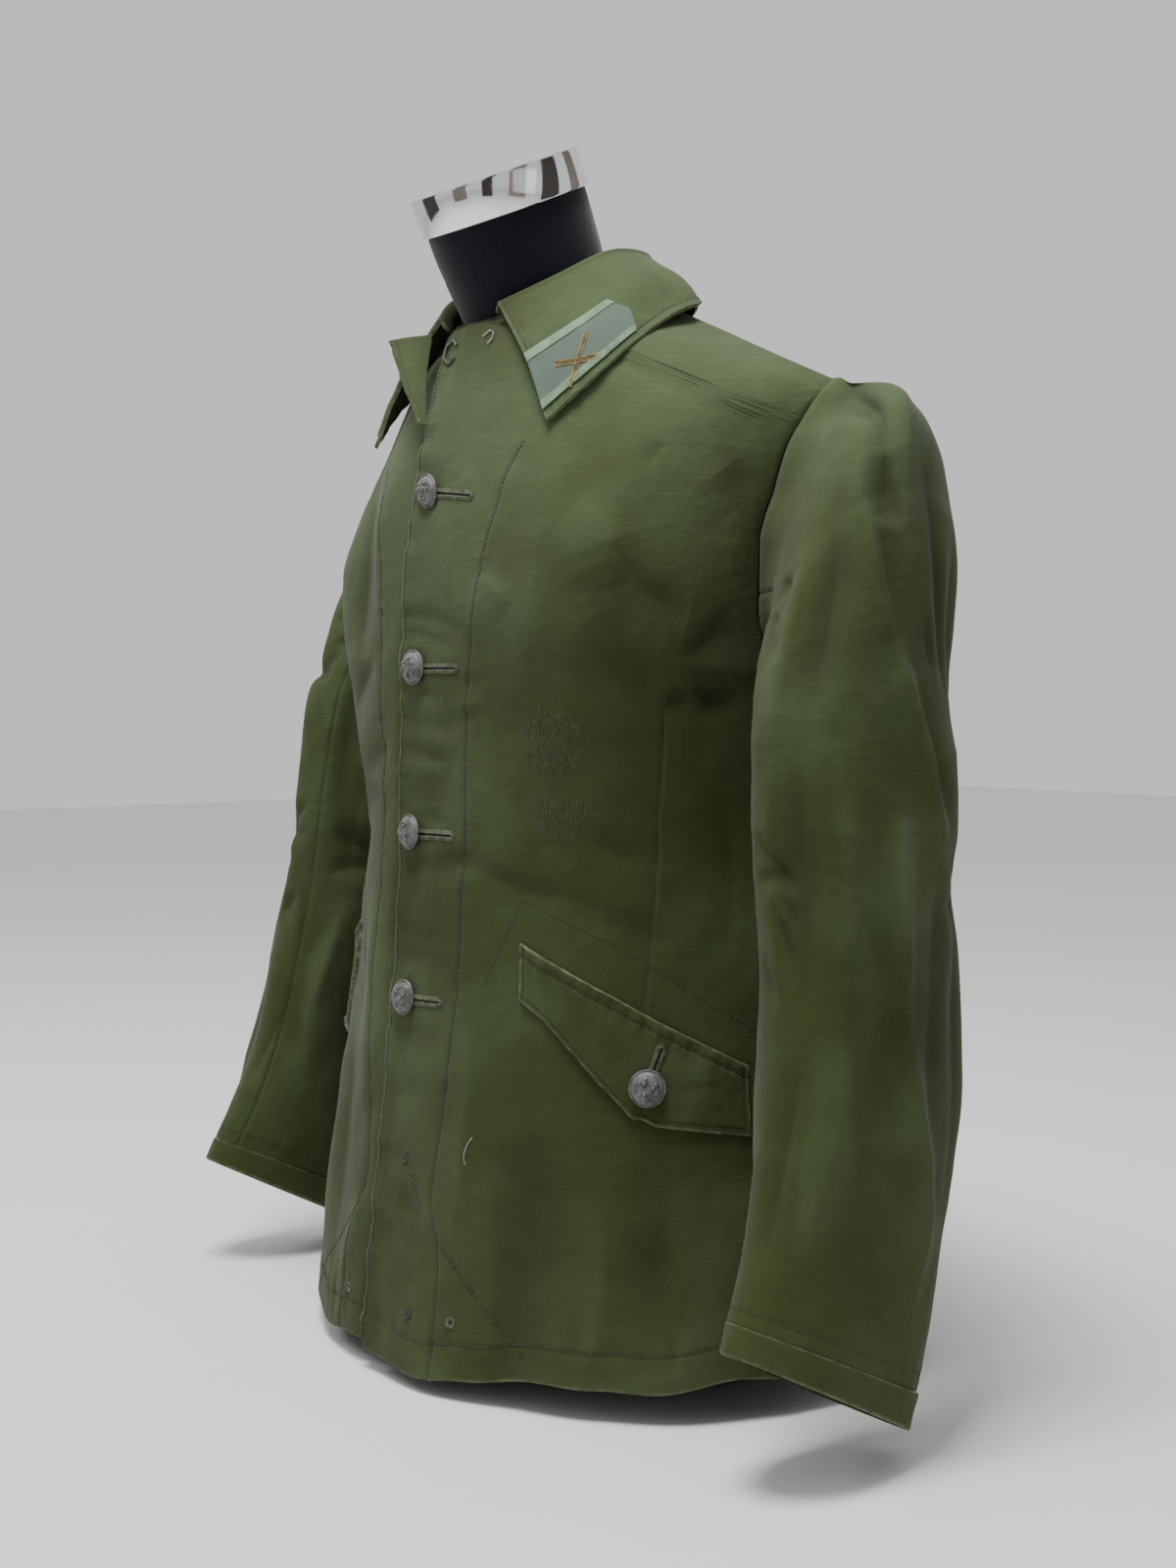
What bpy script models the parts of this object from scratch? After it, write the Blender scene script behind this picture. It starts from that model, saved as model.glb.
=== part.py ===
"""Field jacket on a limbless dress form: every cut piece of cloth is its own thin closed wall.

Metres, +Z up. The front faces -Y and the jacket's own left side is +X. The origin is under the
middle of the whole object, and the dress form stands on z = 0. The tables below count Y from the
middle of the shoulders and Z from a little under the form, and main moves everything at the end.
"""

import math

import bmesh
import bpy
import numpy as np
from mathutils import Matrix, Vector

# ---------------------------------------------------------------- driving dimensions
CLOTH = 0.0020            # wall of the body, sleeves and collar
COLLAR_CLOTH = 0.0018     # wall of the collar
TRIM = 0.0014             # wall of the patches with their backing, and of the lapel
SEAM = 0.0003             # gap between pieces that meet
LAP = 0.018               # how far each front reaches past the centre line
LAP_LIFT = 0.0019         # the left front stands out, and the right one in, by this much
LAP_FADE = 0.085          # distance from the centre line over which that fades out
LAP_TOP = 0.74            # share of the front's height where the lap begins to end
BUTTON_RADIUS = 0.0113
BUTTON_HEIGHT = 0.0062
BUTTON_STANDOFF = 0.0016
CAP_RADIUS = 0.0580
CAP_HEIGHT = 0.0260
CAP_ROUNDING = 0.0020
ORIGIN_Y = 0.0204         # from the middle of the shoulders to the middle of the object's box
STRAIGHT_ROW = 0.12       # length of a row from the neck to the shoulder point
NEAR_EDGE = 0.97          # share of a row from which the way out of the armhole is read
SMALL = 1e-4              # step for slopes

COLOURS = {               # base colour, roughness, metallic
    "jacket_cloth": ((0.060, 0.077, 0.036, 1.0), 0.90, 0.0),
    "patch_cloth": ((0.088, 0.120, 0.098, 1.0), 0.85, 0.0),
    "braid": ((0.240, 0.400, 0.230, 1.0), 0.75, 0.0),
    "button_metal": ((0.250, 0.240, 0.235, 1.0), 0.55, 0.6),
    "form_jersey": ((0.006, 0.008, 0.012, 1.0), 0.80, 0.0),
    "cap_chrome": ((0.800, 0.800, 0.800, 1.0), 0.08, 1.0),
}


def table(columns, *rows):
    """A table with named columns: one array for each name, one value for each row."""
    names = columns.split()
    return {name: np.array([row[i] for row in rows], float) for i, name in enumerate(names)}


# Rows across half a front, from the hem up: where each starts on the centre line or the neckline,
# where it ends on the side seam or the armhole, how full it is, how straight, and how far the
# left and the right front start from the first point (less than 0 is past the centre line).
FRONT = table(
    "start_x start_y start_z end_x  end_y  end_z  full straight left_start right_start",
    (0.000, -0.1890, 0.028, 0.2220, 0.0050, 0.042, 0.57, 0.0, -LAP, -LAP),     # hem
    (0.000, -0.1760, 0.130, 0.2100, 0.0050, 0.134, 0.60, 0.0, -LAP, -LAP),
    (0.000, -0.1640, 0.250, 0.1960, 0.0050, 0.251, 0.58, 0.0, -LAP, -LAP),
    (0.000, -0.1590, 0.350, 0.1860, 0.0050, 0.350, 0.54, 0.0, -LAP, -LAP),     # waist
    (0.000, -0.1570, 0.447, 0.1900, 0.0050, 0.447, 0.66, 0.0, -LAP, -LAP),     # armpit
    (0.000, -0.1540, 0.502, 0.1880, -0.0200, 0.466, 0.71, 0.0, -LAP, -LAP),
    (0.000, -0.1490, 0.552, 0.1855, -0.0310, 0.500, 0.73, 0.0, -LAP, -LAP),
    (0.000, -0.1410, 0.602, 0.1855, -0.0310, 0.540, 0.71, 0.1, -LAP, -0.010),
    (0.000, -0.1290, 0.650, 0.1915, -0.0245, 0.575, 0.62, 0.2, -LAP, 0.020),
    (0.000, -0.1150, 0.690, 0.1985, -0.0195, 0.602, 0.54, 0.3, -LAP, 0.044),   # neckline
    (0.030, -0.1070, 0.692, 0.2055, -0.0135, 0.618, 0.48, 0.5, 0.0, 0.022),
    (0.060, -0.0840, 0.698, 0.2110, -0.0065, 0.632, 0.40, 0.8, 0.0, 0.004),
    (0.080, -0.0280, 0.705, 0.2130, 0.0040, 0.642, 0.33, 1.0, 0.0, 0.000),     # shoulder seam
)
BACK = table(
    "start_x start_y start_z end_x  end_y  end_z  full straight",
    (0.000, 0.1500, 0.042, 0.2220, 0.0050, 0.042, 0.62, 0.0),                  # hem
    (0.000, 0.1390, 0.134, 0.2100, 0.0050, 0.134, 0.62, 0.0),
    (0.000, 0.1250, 0.251, 0.1960, 0.0050, 0.251, 0.60, 0.0),
    (0.000, 0.1220, 0.350, 0.1860, 0.0050, 0.350, 0.58, 0.0),                  # waist
    (0.000, 0.1320, 0.447, 0.1900, 0.0050, 0.447, 0.62, 0.0),                  # armpit
    (0.000, 0.1390, 0.530, 0.1905, 0.0400, 0.472, 0.62, 0.0),
    (0.000, 0.1330, 0.595, 0.1900, 0.0575, 0.512, 0.60, 0.0),
    (0.000, 0.1120, 0.648, 0.1920, 0.0570, 0.555, 0.56, 0.2),
    (0.000, 0.0750, 0.689, 0.1985, 0.0480, 0.594, 0.52, 0.4),
    (0.000, 0.0240, 0.710, 0.2070, 0.0330, 0.620, 0.46, 0.6),                  # neckline
    (0.044, 0.0100, 0.709, 0.2115, 0.0200, 0.634, 0.40, 0.8),
    (0.080, -0.0280, 0.705, 0.2130, 0.0040, 0.642, 0.33, 1.0),                 # shoulder seam
)
BACK_NECK_ROW = 9         # the last row that reaches the centre back
ARMPIT_ROW = 4            # the row where the side seam ends, in both tables
ARMHOLE_STEPS = 12        # rows of faces beside the armhole, in front and behind

# Sleeve rings from the armhole down to the cuff: centre, tilt from upright (0) to level (90),
# half width across (outwards), half width from front to back, and how far the front is raised.
SLEEVE = table(
    "at    x       y       z      tilt  across  deep   raise",
    (0.00, 0.1990, 0.0120, 0.5450, 6, 0.0980, 0.0450, 0),                      # armhole
    (0.06, 0.2320, 0.0080, 0.5430, 25, 0.0910, 0.0540, 0),
    (0.12, 0.2420, 0.0000, 0.5240, 46, 0.0660, 0.0570, 0),
    (0.20, 0.2480, -0.0090, 0.4920, 70, 0.0540, 0.0610, 0),
    (0.30, 0.2540, -0.0180, 0.4460, 88, 0.0490, 0.0670, 2),                    # upper arm
    (0.45, 0.2620, -0.0240, 0.3700, 90, 0.0480, 0.0705, 4),
    (0.60, 0.2720, -0.0310, 0.2900, 90, 0.0450, 0.0680, 8),                    # elbow
    (0.75, 0.2820, -0.0430, 0.2070, 90, 0.0420, 0.0680, 14),
    (0.90, 0.2900, -0.0640, 0.1260, 90, 0.0380, 0.0690, 21),
    (1.00, 0.2950, -0.0850, 0.0770, 90, 0.0350, 0.0700, 26),                   # cuff
)
FRONT_SEAM = math.radians(116)      # round the sleeve from its outer side, by the front
BACK_SEAM = math.radians(250)
HEAD_END = 0.16                     # the sleeve's head has taken up its own shape here
CUFF_SHARE = 0.984                  # where the sleeve stops and the band takes over
CUFF_BAND = (0.987, 1.02)           # where the band starts and ends
CUFF_PROUD = 0.0008                 # the band stands out from the sleeve by this much

# The collar at five stations from its front end to the centre back: the seam on the neckline, the
# roll line, and the outer edge of the left and the right leaf.
COLLAR = table(
    "at   seam_x  seam_y   seam_z  roll_x  roll_y  roll_z  edge_x  edge_y  edge_z",
    (0.00, 0.0300, -0.1090, 0.6935, 0.0310, -0.1160, 0.6990, 0.0940, -0.1240, 0.6170),
    (0.30, 0.0610, -0.0820, 0.6990, 0.0610, -0.0860, 0.7180, 0.1150, -0.0920, 0.6520),
    (0.55, 0.0770, -0.0400, 0.7060, 0.0640, -0.0440, 0.7370, 0.1190, -0.0320, 0.6930),
    (0.78, 0.0520, 0.0040, 0.7110, 0.0450, -0.0050, 0.7410, 0.0740, 0.0130, 0.7040),
    (1.00, 0.0000, 0.0230, 0.7120, 0.0000, 0.0120, 0.7420, 0.0000, 0.0500, 0.7030),
)
# The first two stations again from the other side, so that the line is smooth at the centre back.
MIRRORED = {"at": lambda value: 2 - value, "x": lambda value: -value}
WHOLE_COLLAR = {
    name: np.append(values, MIRRORED.get(name[-2:].strip("_"), float)(values[-2]))
    for name, values in COLLAR.items()
}
RIGHT_END_OUT = 0.017               # the collar's right end starts this much further out
RIGHT_END_BACK = 0.008              # and this much further back, behind the lapel
RIGHT_LEAF_FORWARD = 0.006          # the right leaf's point stands off the chest
ROLL_RADIUS = 0.0032                # of the fold at the roll line
ROLL_DROP = 0.0035                  # the fold's two sides lie this far below its top
LEAF_FULLNESS = 0.006               # how far the middle of a leaf bulges outwards
COLLAR_STATIONS = np.linspace(0.0, 1.0, 13)
COLLAR_LINES = np.array([0.0, 0.15, 0.28, 0.34, 0.40, 0.46, 0.52, 0.60, 0.68, 0.76, 0.84, 0.92, 1.0])
ROLL_LINES = np.array([0.0, 0.30, 0.40, 0.50, 0.75, 1.0])    # seam, inside, roll, outside, middle, edge

# The turned-back corner of the right front: its fold and its free edge, from top to bottom.
LAPEL = table(
    "fold_x  fold_y   fold_z  edge_x  edge_y   edge_z",
    (-0.0440, -0.1170, 0.6900, -0.0740, -0.1330, 0.6880),
    (-0.0310, -0.1300, 0.6580, -0.0480, -0.1400, 0.6580),
    (-0.0170, -0.1400, 0.6250, -0.0200, -0.1440, 0.6260),
)
LAPEL_FULLNESS = 0.003              # how far its middle bulges forwards

# Pocket flap: its upper corners as (share of the row from the centre to the side, height), and
# its depth at shares of its length.
FLAP_FRONT = (0.312, 0.298)
FLAP_BACK = (0.820, 0.226)
FLAP_DEPTH = table(
    "share depth",
    (0.00, 0.034),
    (0.12, 0.038),
    (0.50, 0.066),                                                             # the point
    (0.58, 0.064),
    (1.00, 0.042),
)
FLAP_BUTTON = (0.56, 0.043)         # share of its length, and depth

BUTTON_HEIGHTS = (0.580, 0.467, 0.362, 0.257)

# Collar patch on each leaf: shares of the collar's half length and of the leaf's depth.
PATCH_SPAN = (0.015, 0.400)
PATCH_DEPTH = (0.44, 0.91)
BRAID_SHARE = 0.14                  # each braid's share of the patch's depth
BRAID_SEAM = 0.006                  # share of the depth left open between braid and patch
PATCH_GAP = 0.0005                  # between the leaf and what lies on it, over its bends

# The dress form: rings from the base up.
FORM = table(
    "z      y       wide    deep",
    (0.022, -0.0120, 0.1560, 0.1250),
    (0.034, -0.0120, 0.1640, 0.1320),
    (0.100, -0.0120, 0.1720, 0.1360),
    (0.280, -0.0120, 0.1550, 0.1180),                                          # waist
    (0.440, -0.0100, 0.1640, 0.1240),
    (0.520, -0.0060, 0.1620, 0.1180),
    (0.575, -0.0060, 0.1560, 0.0980),
    (0.615, -0.0090, 0.1400, 0.0740),
    (0.645, -0.0160, 0.1120, 0.0600),
    (0.665, -0.0300, 0.0760, 0.0550),
    (0.690, -0.0500, 0.0570, 0.0550),
    (0.720, -0.0690, 0.0550, 0.0550),
)
NECK_TILT = math.radians(23.5)
NECK_TOP = (0.0, -0.0880, 0.7670)   # middle of the neck's tilted top face
NECK_RADIUS = 0.0545


# ---------------------------------------------------------------- curves and surfaces
def smooth(knots, values, at):
    """A cubic curve through the values that never overshoots them."""
    step = np.diff(knots)
    rise = np.diff(values) / step
    slope = np.zeros(len(knots))
    slope[0] = rise[0]
    slope[-1] = rise[-1]
    for i in range(1, len(knots) - 1):
        if rise[i - 1] * rise[i] > 0:
            before = 2 * step[i] + step[i - 1]
            after = step[i] + 2 * step[i - 1]
            slope[i] = (before + after) / (before / rise[i - 1] + after / rise[i])
    i = np.clip(np.searchsorted(knots, at, side="right") - 1, 0, len(knots) - 2)
    t = (at - knots[i]) / step[i]
    hermite = ((1 + 2 * t) * (1 - t) ** 2 * values[i] + t * (1 - t) ** 2 * step[i] * slope[i]
               + t * t * (3 - 2 * t) * values[i + 1] + t * t * (t - 1) * step[i] * slope[i + 1])
    return hermite


def rows_at(rows, v):
    """Every column of a table of rows, read smoothly at v from 0 (first row) to 1 (last row)."""
    count = len(next(iter(rows.values())))
    knots = np.arange(count, dtype=float)
    return {name: smooth(knots, values, v * (count - 1)) for name, values in rows.items()}


def points(columns, prefix):
    return np.stack([columns[prefix + axis] for axis in ("_x", "_y", "_z")], axis=-1)


def ease(x):
    x = np.clip(x, 0.0, 1.0)
    return x * x * (3 - 2 * x)


def half_row(columns, t):
    """A point at share t of each row; t below 0 goes past the centre line, mirrored."""
    start = points(columns, "start")
    end = points(columns, "end")
    full = columns["full"][..., None]
    straight = columns["straight"][..., None]
    third = (end - start) / 3
    leave = (1 - straight) * full * (end - start) * (1, 0, 0) + straight * third
    arrive = (1 - straight) * full * (end - start) * (0, 1, 0) + straight * third
    s = np.abs(t)[..., None]
    curve = ((1 - s) ** 3 * start + 3 * s * (1 - s) ** 2 * (start + leave)
             + 3 * s * s * (1 - s) * (end - arrive) + s ** 3 * end)
    curve[..., 0] = np.where(t < 0, -curve[..., 0], curve[..., 0])
    return curve


def share_per_metre(columns):
    """How much t grows for each metre along a row near its start."""
    speed = (1 - columns["straight"]) * columns["full"] * (columns["end_x"] - columns["start_x"]) * 3
    return 1.0 / (speed + columns["straight"] * STRAIGHT_ROW)


def front(u, v, side=1):
    """A front at u across it (0 is its free edge, 1 the side) and v up it; side -1 is the right."""
    columns = rows_at(FRONT, v)
    start = columns["left_start" if side > 0 else "right_start"]
    t0 = start * share_per_metre(columns)
    return front_row(t0 + (1 - t0) * u, v, side)


def front_row(t, v, side=1):
    """A front at share t of its half row, counted from the centre line."""
    columns = rows_at(FRONT, v)
    base = half_row(columns, t)
    distance = t / share_per_metre(columns)
    below_neck = 1 - ease((v - LAP_TOP) / (1 - LAP_TOP) * 3)
    lift = side * LAP_LIFT * (1 - ease(np.abs(distance) / LAP_FADE)) * below_neck
    base[..., 1] -= lift + SEAM * near_seam(t, v)
    base[..., 0] *= side
    return base


def near_seam(t, v):
    """1 beside the side seam, the armhole and the shoulder seam, 0 away from them."""
    return np.maximum(ease((t - 0.9) / 0.1), ease((v - 0.96) / 0.04))


def back(t, v):
    """The back at share t of its row, less than 0 on the right side."""
    base = half_row(rows_at(BACK, v), t)
    base[..., 1] += SEAM * near_seam(np.abs(t), v)
    return base


def armhole_line(rows):
    """The armhole of one panel from the shoulder down to the armpit, and the way out of it."""
    count = len(rows["start_x"])
    v = np.linspace(1.0, ARMPIT_ROW / (count - 1), 12 * ARMHOLE_STEPS + 1)
    columns = rows_at(rows, v)
    edge = half_row(columns, np.ones_like(v))
    out = edge - half_row(columns, np.full_like(v, NEAR_EDGE))
    out /= np.linalg.norm(out, axis=1)[:, None]
    length = np.concatenate([[0], np.cumsum(np.linalg.norm(np.diff(edge, axis=0), axis=1))])
    return length / length[-1], edge, out


ARMHOLE = (armhole_line(FRONT), armhole_line(BACK))
# The angles where the sleeves have their columns: one for each row of the fronts and the back.
FRONT_ANGLES = ARMHOLE[0][0][::12] * math.pi
BACK_ANGLES = (2 - ARMHOLE[1][0][::12]) * math.pi


def armhole(phi):
    """The armhole at angle phi: 0 is the shoulder, pi the armpit, the front first."""
    phi = np.mod(phi, 2 * math.pi)
    share = np.where(phi <= math.pi, phi, 2 * math.pi - phi) / math.pi
    found = []
    for length, edge, out in ARMHOLE:
        both = [np.stack([np.interp(share, length, line[:, k]) for k in range(3)], -1)
                for line in (edge, out)]
        found.append(both[0] + SEAM * both[1])
    return np.where((phi <= math.pi)[..., None], found[0], found[1])


def ring(s, phi):
    """A point on the sleeve's own ring at s down it and angle phi round it."""
    columns = {name: smooth(SLEEVE["at"], values, s) for name, values in SLEEVE.items()}
    tilt = np.radians(columns["tilt"])
    lift = np.radians(columns["raise"])
    zero = np.zeros_like(s)
    outwards = np.stack([np.sin(tilt), zero, np.cos(tilt)], -1) * columns["across"][..., None]
    forwards = np.stack([zero, -np.cos(lift), np.sin(lift)], -1) * columns["deep"][..., None]
    centre = np.stack([columns["x"], columns["y"], columns["z"]], -1)
    return centre + outwards * np.cos(phi)[..., None] + forwards * np.sin(phi)[..., None]


def sleeve(s, phi, side=1):
    start = np.zeros_like(s)
    pull = 1 - ease(s / HEAD_END)
    point = ring(s, phi) + pull[..., None] * (armhole(phi) - ring(start, phi))
    point[..., 0] *= side
    return point


def collar(t, w, side=1):
    """The collar at share t of its half length; w from 0 (neck seam) by 0.4 (roll) to 1 (edge)."""
    columns = {name: smooth(WHOLE_COLLAR["at"], values, t) for name, values in WHOLE_COLLAR.items()}
    seam = points(columns, "seam")
    roll = points(columns, "roll")
    edge = points(columns, "edge")
    if side < 0:
        near_end = 1 - ease(t / 0.35)
        for line in (seam, roll):
            line[..., 0] += RIGHT_END_OUT * near_end
            line[..., 1] += RIGHT_END_BACK * near_end
        edge[..., 1] -= RIGHT_LEAF_FORWARD * near_end
    away = (edge - roll) * (1, 1, 0)
    away /= np.linalg.norm(away, axis=-1)[..., None] + 1e-9
    inner = roll - away * ROLL_RADIUS - (0, 0, ROLL_DROP)
    outer = roll + away * ROLL_RADIUS - (0, 0, ROLL_DROP)
    middle = (outer + edge) / 2 + away * LEAF_FULLNESS
    stops = np.stack([seam, inner, roll, outer, middle, edge])
    out = np.zeros_like(roll)
    for k in range(3):
        flat = stops[..., k].reshape(len(ROLL_LINES), -1)
        share = np.broadcast_to(w, t.shape).ravel()
        values = [catmull(ROLL_LINES, flat[:, i], share[i]) for i in range(flat.shape[1])]
        out[..., k] = np.array(values).reshape(t.shape)
    out[..., 0] *= side
    return out


def catmull(knots, values, at):
    """A smooth curve through the values that may round their corners outwards."""
    slope = np.gradient(values, knots)
    i = int(np.clip(np.searchsorted(knots, at, side="right") - 1, 0, len(knots) - 2))
    step = knots[i + 1] - knots[i]
    t = (at - knots[i]) / step
    return ((1 + 2 * t) * (1 - t) ** 2 * values[i] + t * (1 - t) ** 2 * step * slope[i]
            + t * t * (3 - 2 * t) * values[i + 1] + t * t * (t - 1) * step * slope[i + 1])


def normals(surface, u, v, *more):
    """Unit normals of a surface function by small differences."""
    u0 = np.clip(u, None, 1 - SMALL)
    v0 = np.clip(v, None, 1 - SMALL)
    along = surface(u0 + SMALL, v0, *more) - surface(u0, v0, *more)
    up = surface(u0, v0 + SMALL, *more) - surface(u0, v0, *more)
    cross = np.cross(along, up)
    return cross / (np.linalg.norm(cross, axis=-1)[..., None] + 1e-12)


# ---------------------------------------------------------------- meshes and objects
def material(name):
    found = bpy.data.materials.get(name)
    if found:
        return found
    made = bpy.data.materials.new(name)
    made.use_nodes = True
    colour, rough, metal = COLOURS[name]
    shader = made.node_tree.nodes["Principled BSDF"]
    shader.inputs["Base Color"].default_value = colour
    shader.inputs["Roughness"].default_value = rough
    shader.inputs["Metallic"].default_value = metal
    return made


def add_object(name, vertices, faces, finish):
    """One closed body from points and faces; the faces are turned outwards."""
    mesh = bpy.data.meshes.new(name)
    mesh.from_pydata([tuple(map(float, p)) for p in vertices], [], faces)
    work = bmesh.new()
    work.from_mesh(mesh)
    bmesh.ops.recalc_face_normals(work, faces=work.faces)
    work.to_mesh(mesh)
    work.free()
    mesh.shade_smooth()
    mesh.set_sharp_from_angle(angle=math.radians(40))
    mesh.materials.append(material(finish))
    made = bpy.data.objects.new(name, mesh)
    bpy.context.scene.collection.objects.link(made)
    return made


def grid_faces(rows, cols):
    return [(r * cols + c, r * cols + c + 1, (r + 1) * cols + c + 1, (r + 1) * cols + c)
            for r in range(rows - 1) for c in range(cols - 1)]


def add_wall(name, sheets, finish, thickness=CLOTH):
    """A closed wall: the sheets are (outer points, inward directions) grids, welded where they
    share points, with an inner skin and a rim round every free edge."""
    outer, inward, faces = [], [], []
    for grid, direction in sheets:
        faces += [tuple(i + len(outer) for i in face) for face in grid_faces(*grid.shape[:2])]
        outer += list(grid.reshape(-1, 3))
        inward += list(direction.reshape(-1, 3))
    keys, index = {}, []
    for i, point in enumerate(outer):
        index.append(keys.setdefault(tuple(np.round(point, 6)), i))
    faces = [tuple(dict.fromkeys(index[i] for i in face)) for face in faces]
    faces = [face for face in faces if len(face) > 2]
    used = sorted({i for face in faces for i in face})
    place = {old: new for new, old in enumerate(used)}
    faces = [tuple(place[i] for i in face) for face in faces]
    count = len(used)
    vertices = [outer[i] for i in used] + [outer[i] + thickness * inward[i] for i in used]
    edges = {}
    for face in faces:
        for a, b in zip(face, face[1:] + face[:1]):
            edges[(a, b)] = True
    rim = [(b, a, a + count, b + count) for a, b in edges if (b, a) not in edges]
    inner = [tuple(i + count for i in reversed(face)) for face in faces]
    return add_object(name, vertices, faces + inner + rim, finish)


def without(direction, axis):
    """The direction with its share along one axis taken out, at full length again."""
    axis = np.asarray(axis, float)
    left = direction - (direction @ axis)[..., None] * axis
    return left / np.linalg.norm(left, axis=-1)[..., None]


def spread(count, start=0.0, end=1.0):
    return np.linspace(start, end, count)


# ---------------------------------------------------------------- the body of the jacket
def panel_sheet(surface, across, up, *more, inward=1):
    u, v = np.meshgrid(across, up)
    grid = surface(u, v, *more)
    direction = -inward * normals(surface, u, v, *more)
    direction[:, -1] = np.where((up <= up_to_armpit(surface))[:, None],
                                without(direction[:, -1], (0, 1, 0)), direction[:, -1])
    direction[-1] = without(direction[-1], (0, 1, 0))
    return grid, direction


def row_heights(rows):
    """v of each row of faces: a few below the armpit, closer ones beside the armhole."""
    armpit = ARMPIT_ROW / (len(rows["start_x"]) - 1)
    return np.concatenate([spread(8, 0, armpit)[:-1], spread(ARMHOLE_STEPS + 1, armpit, 1.0)])


def up_to_armpit(surface):
    rows = BACK if surface is back else FRONT
    return ARMPIT_ROW / (len(rows["start_x"]) - 1)


def make_front(name, side):
    across = spread(13)
    up = row_heights(FRONT)
    add_wall(name, [panel_sheet(front, across, up, side, inward=side)], "jacket_cloth")


def make_back():
    """Both halves share the column of points at the centre back, below the neckline."""
    up = row_heights(BACK)
    grid, direction = panel_sheet(back, spread(12), up, inward=-1)
    mirror = np.array([-1.0, 1.0, 1.0])
    add_wall("back", [(grid, direction), ((grid * mirror)[:, ::-1], (direction * mirror)[:, ::-1])],
             "jacket_cloth")


# ---------------------------------------------------------------- sleeves
def sleeve_sheet(side, s, phi):
    rows, cols = np.meshgrid(s, phi, indexing="ij")
    grid = sleeve(rows, cols, side)
    start = np.minimum(rows, 1 - SMALL)
    down = sleeve(start + SMALL, cols, side) - sleeve(start, cols, side)
    around = sleeve(rows, cols + SMALL, side) - sleeve(rows, cols - SMALL, side)
    inward = side * np.cross(around, down)
    inward /= np.linalg.norm(inward, axis=-1)[..., None]
    mirror = np.array([side, 1.0, 1.0])
    middle = ring(rows[:1], cols[:1] * 0) * 0.5 + ring(rows[:1], cols[:1] * 0 + math.pi) * 0.5
    if np.sum(inward[0] * (middle * mirror - grid[0])) < 0:
        inward = -inward
    if s[0] == 0:
        out = armhole_out(cols[0]) * mirror
        left = inward[0] - np.sum(inward[0] * out, axis=-1)[..., None] * out
        inward[0] = left / np.linalg.norm(left, axis=-1)[..., None]
    return grid, inward


def armhole_out(phi):
    phi = np.mod(phi, 2 * math.pi)
    share = np.where(phi <= math.pi, phi, 2 * math.pi - phi) / math.pi
    found = [np.stack([np.interp(share, length, out[:, k]) for k in range(3)], -1)
             for length, _, out in ARMHOLE]
    out = np.where((phi <= math.pi)[..., None], found[0], found[1])
    return out / np.linalg.norm(out, axis=-1)[..., None]


def make_sleeve(word, side):
    rings = np.concatenate([(0.0, 0.02, 0.05, 0.09, 0.14, 0.20), spread(8, 0.28, CUFF_SHARE)])
    half_gap = SEAM / 2 / 0.06
    angles = np.unique(np.concatenate([FRONT_ANGLES, BACK_ANGLES]).round(9))
    front_seam = angles[np.argmin(np.abs(angles - FRONT_SEAM))]
    back_seam = angles[np.argmin(np.abs(angles - BACK_SEAM))]
    under = angles[(angles >= front_seam) & (angles <= back_seam)]
    upper = np.concatenate([angles[angles >= back_seam][:-1] - 2 * math.pi, angles[angles <= front_seam]])
    for columns in (under, upper):
        columns[0] += half_gap
        columns[-1] -= half_gap
    add_wall("sleeve_" + word + "_upper", [sleeve_sheet(side, rings, upper)], "jacket_cloth")
    add_wall("sleeve_" + word + "_under", [sleeve_sheet(side, rings, under)], "jacket_cloth")


def make_cuff(word, side):
    """The band is a closed hoop that ends the sleeve, a little prouder than its cloth."""
    s = np.array(CUFF_BAND)
    phi = spread(25, 0.0, 2 * math.pi)
    rows, cols = np.meshgrid(s, phi, indexing="ij")
    grid = sleeve(rows, cols, side)
    grid[:, -1] = grid[:, 0]
    middle = grid[:, :-1].mean(axis=1, keepdims=True)
    outward = grid - middle
    outward -= (outward @ cuff_axis(side))[..., None] * cuff_axis(side)
    outward /= np.linalg.norm(outward, axis=-1)[..., None]
    sheet = (grid + outward * CUFF_PROUD, -outward)
    add_wall("cuff_" + word, [sheet], "jacket_cloth", CLOTH + CUFF_PROUD)


def cuff_axis(side):
    lift = math.radians(SLEEVE["raise"][-1])
    return np.array([0.0, -math.sin(lift), -math.cos(lift)])


# ---------------------------------------------------------------- collar, patches, lapel
def make_collar():
    sheets = []
    for side in (1, -1):
        u, v = np.meshgrid(COLLAR_STATIONS, COLLAR_LINES)
        grid = collar(u, v, side)
        direction = -side * normals(collar, u, v, side)
        if side < 0:
            grid = grid[:, ::-1]
            direction = direction[:, ::-1]
        sheets.append((grid, direction))
    sheets[1][1][:, 0] = sheets[0][1][:, -1] = without(sheets[0][1][:, -1], (1, 0, 0))
    add_wall("collar", sheets, "jacket_cloth", COLLAR_CLOTH)


def within(values, low, high):
    """The values between two limits, and the limits themselves."""
    return np.concatenate([[low], values[(values > low + 0.01) & (values < high - 0.01)], [high]])


def on_collar(side, t, w, height):
    """Places above the collar's outer face, and the way out of it."""
    u, v = np.meshgrid(t, w)
    out = -side * normals(collar, u, v, side)
    return collar(u, v, side) + out * (COLLAR_CLOTH + height), out


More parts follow.
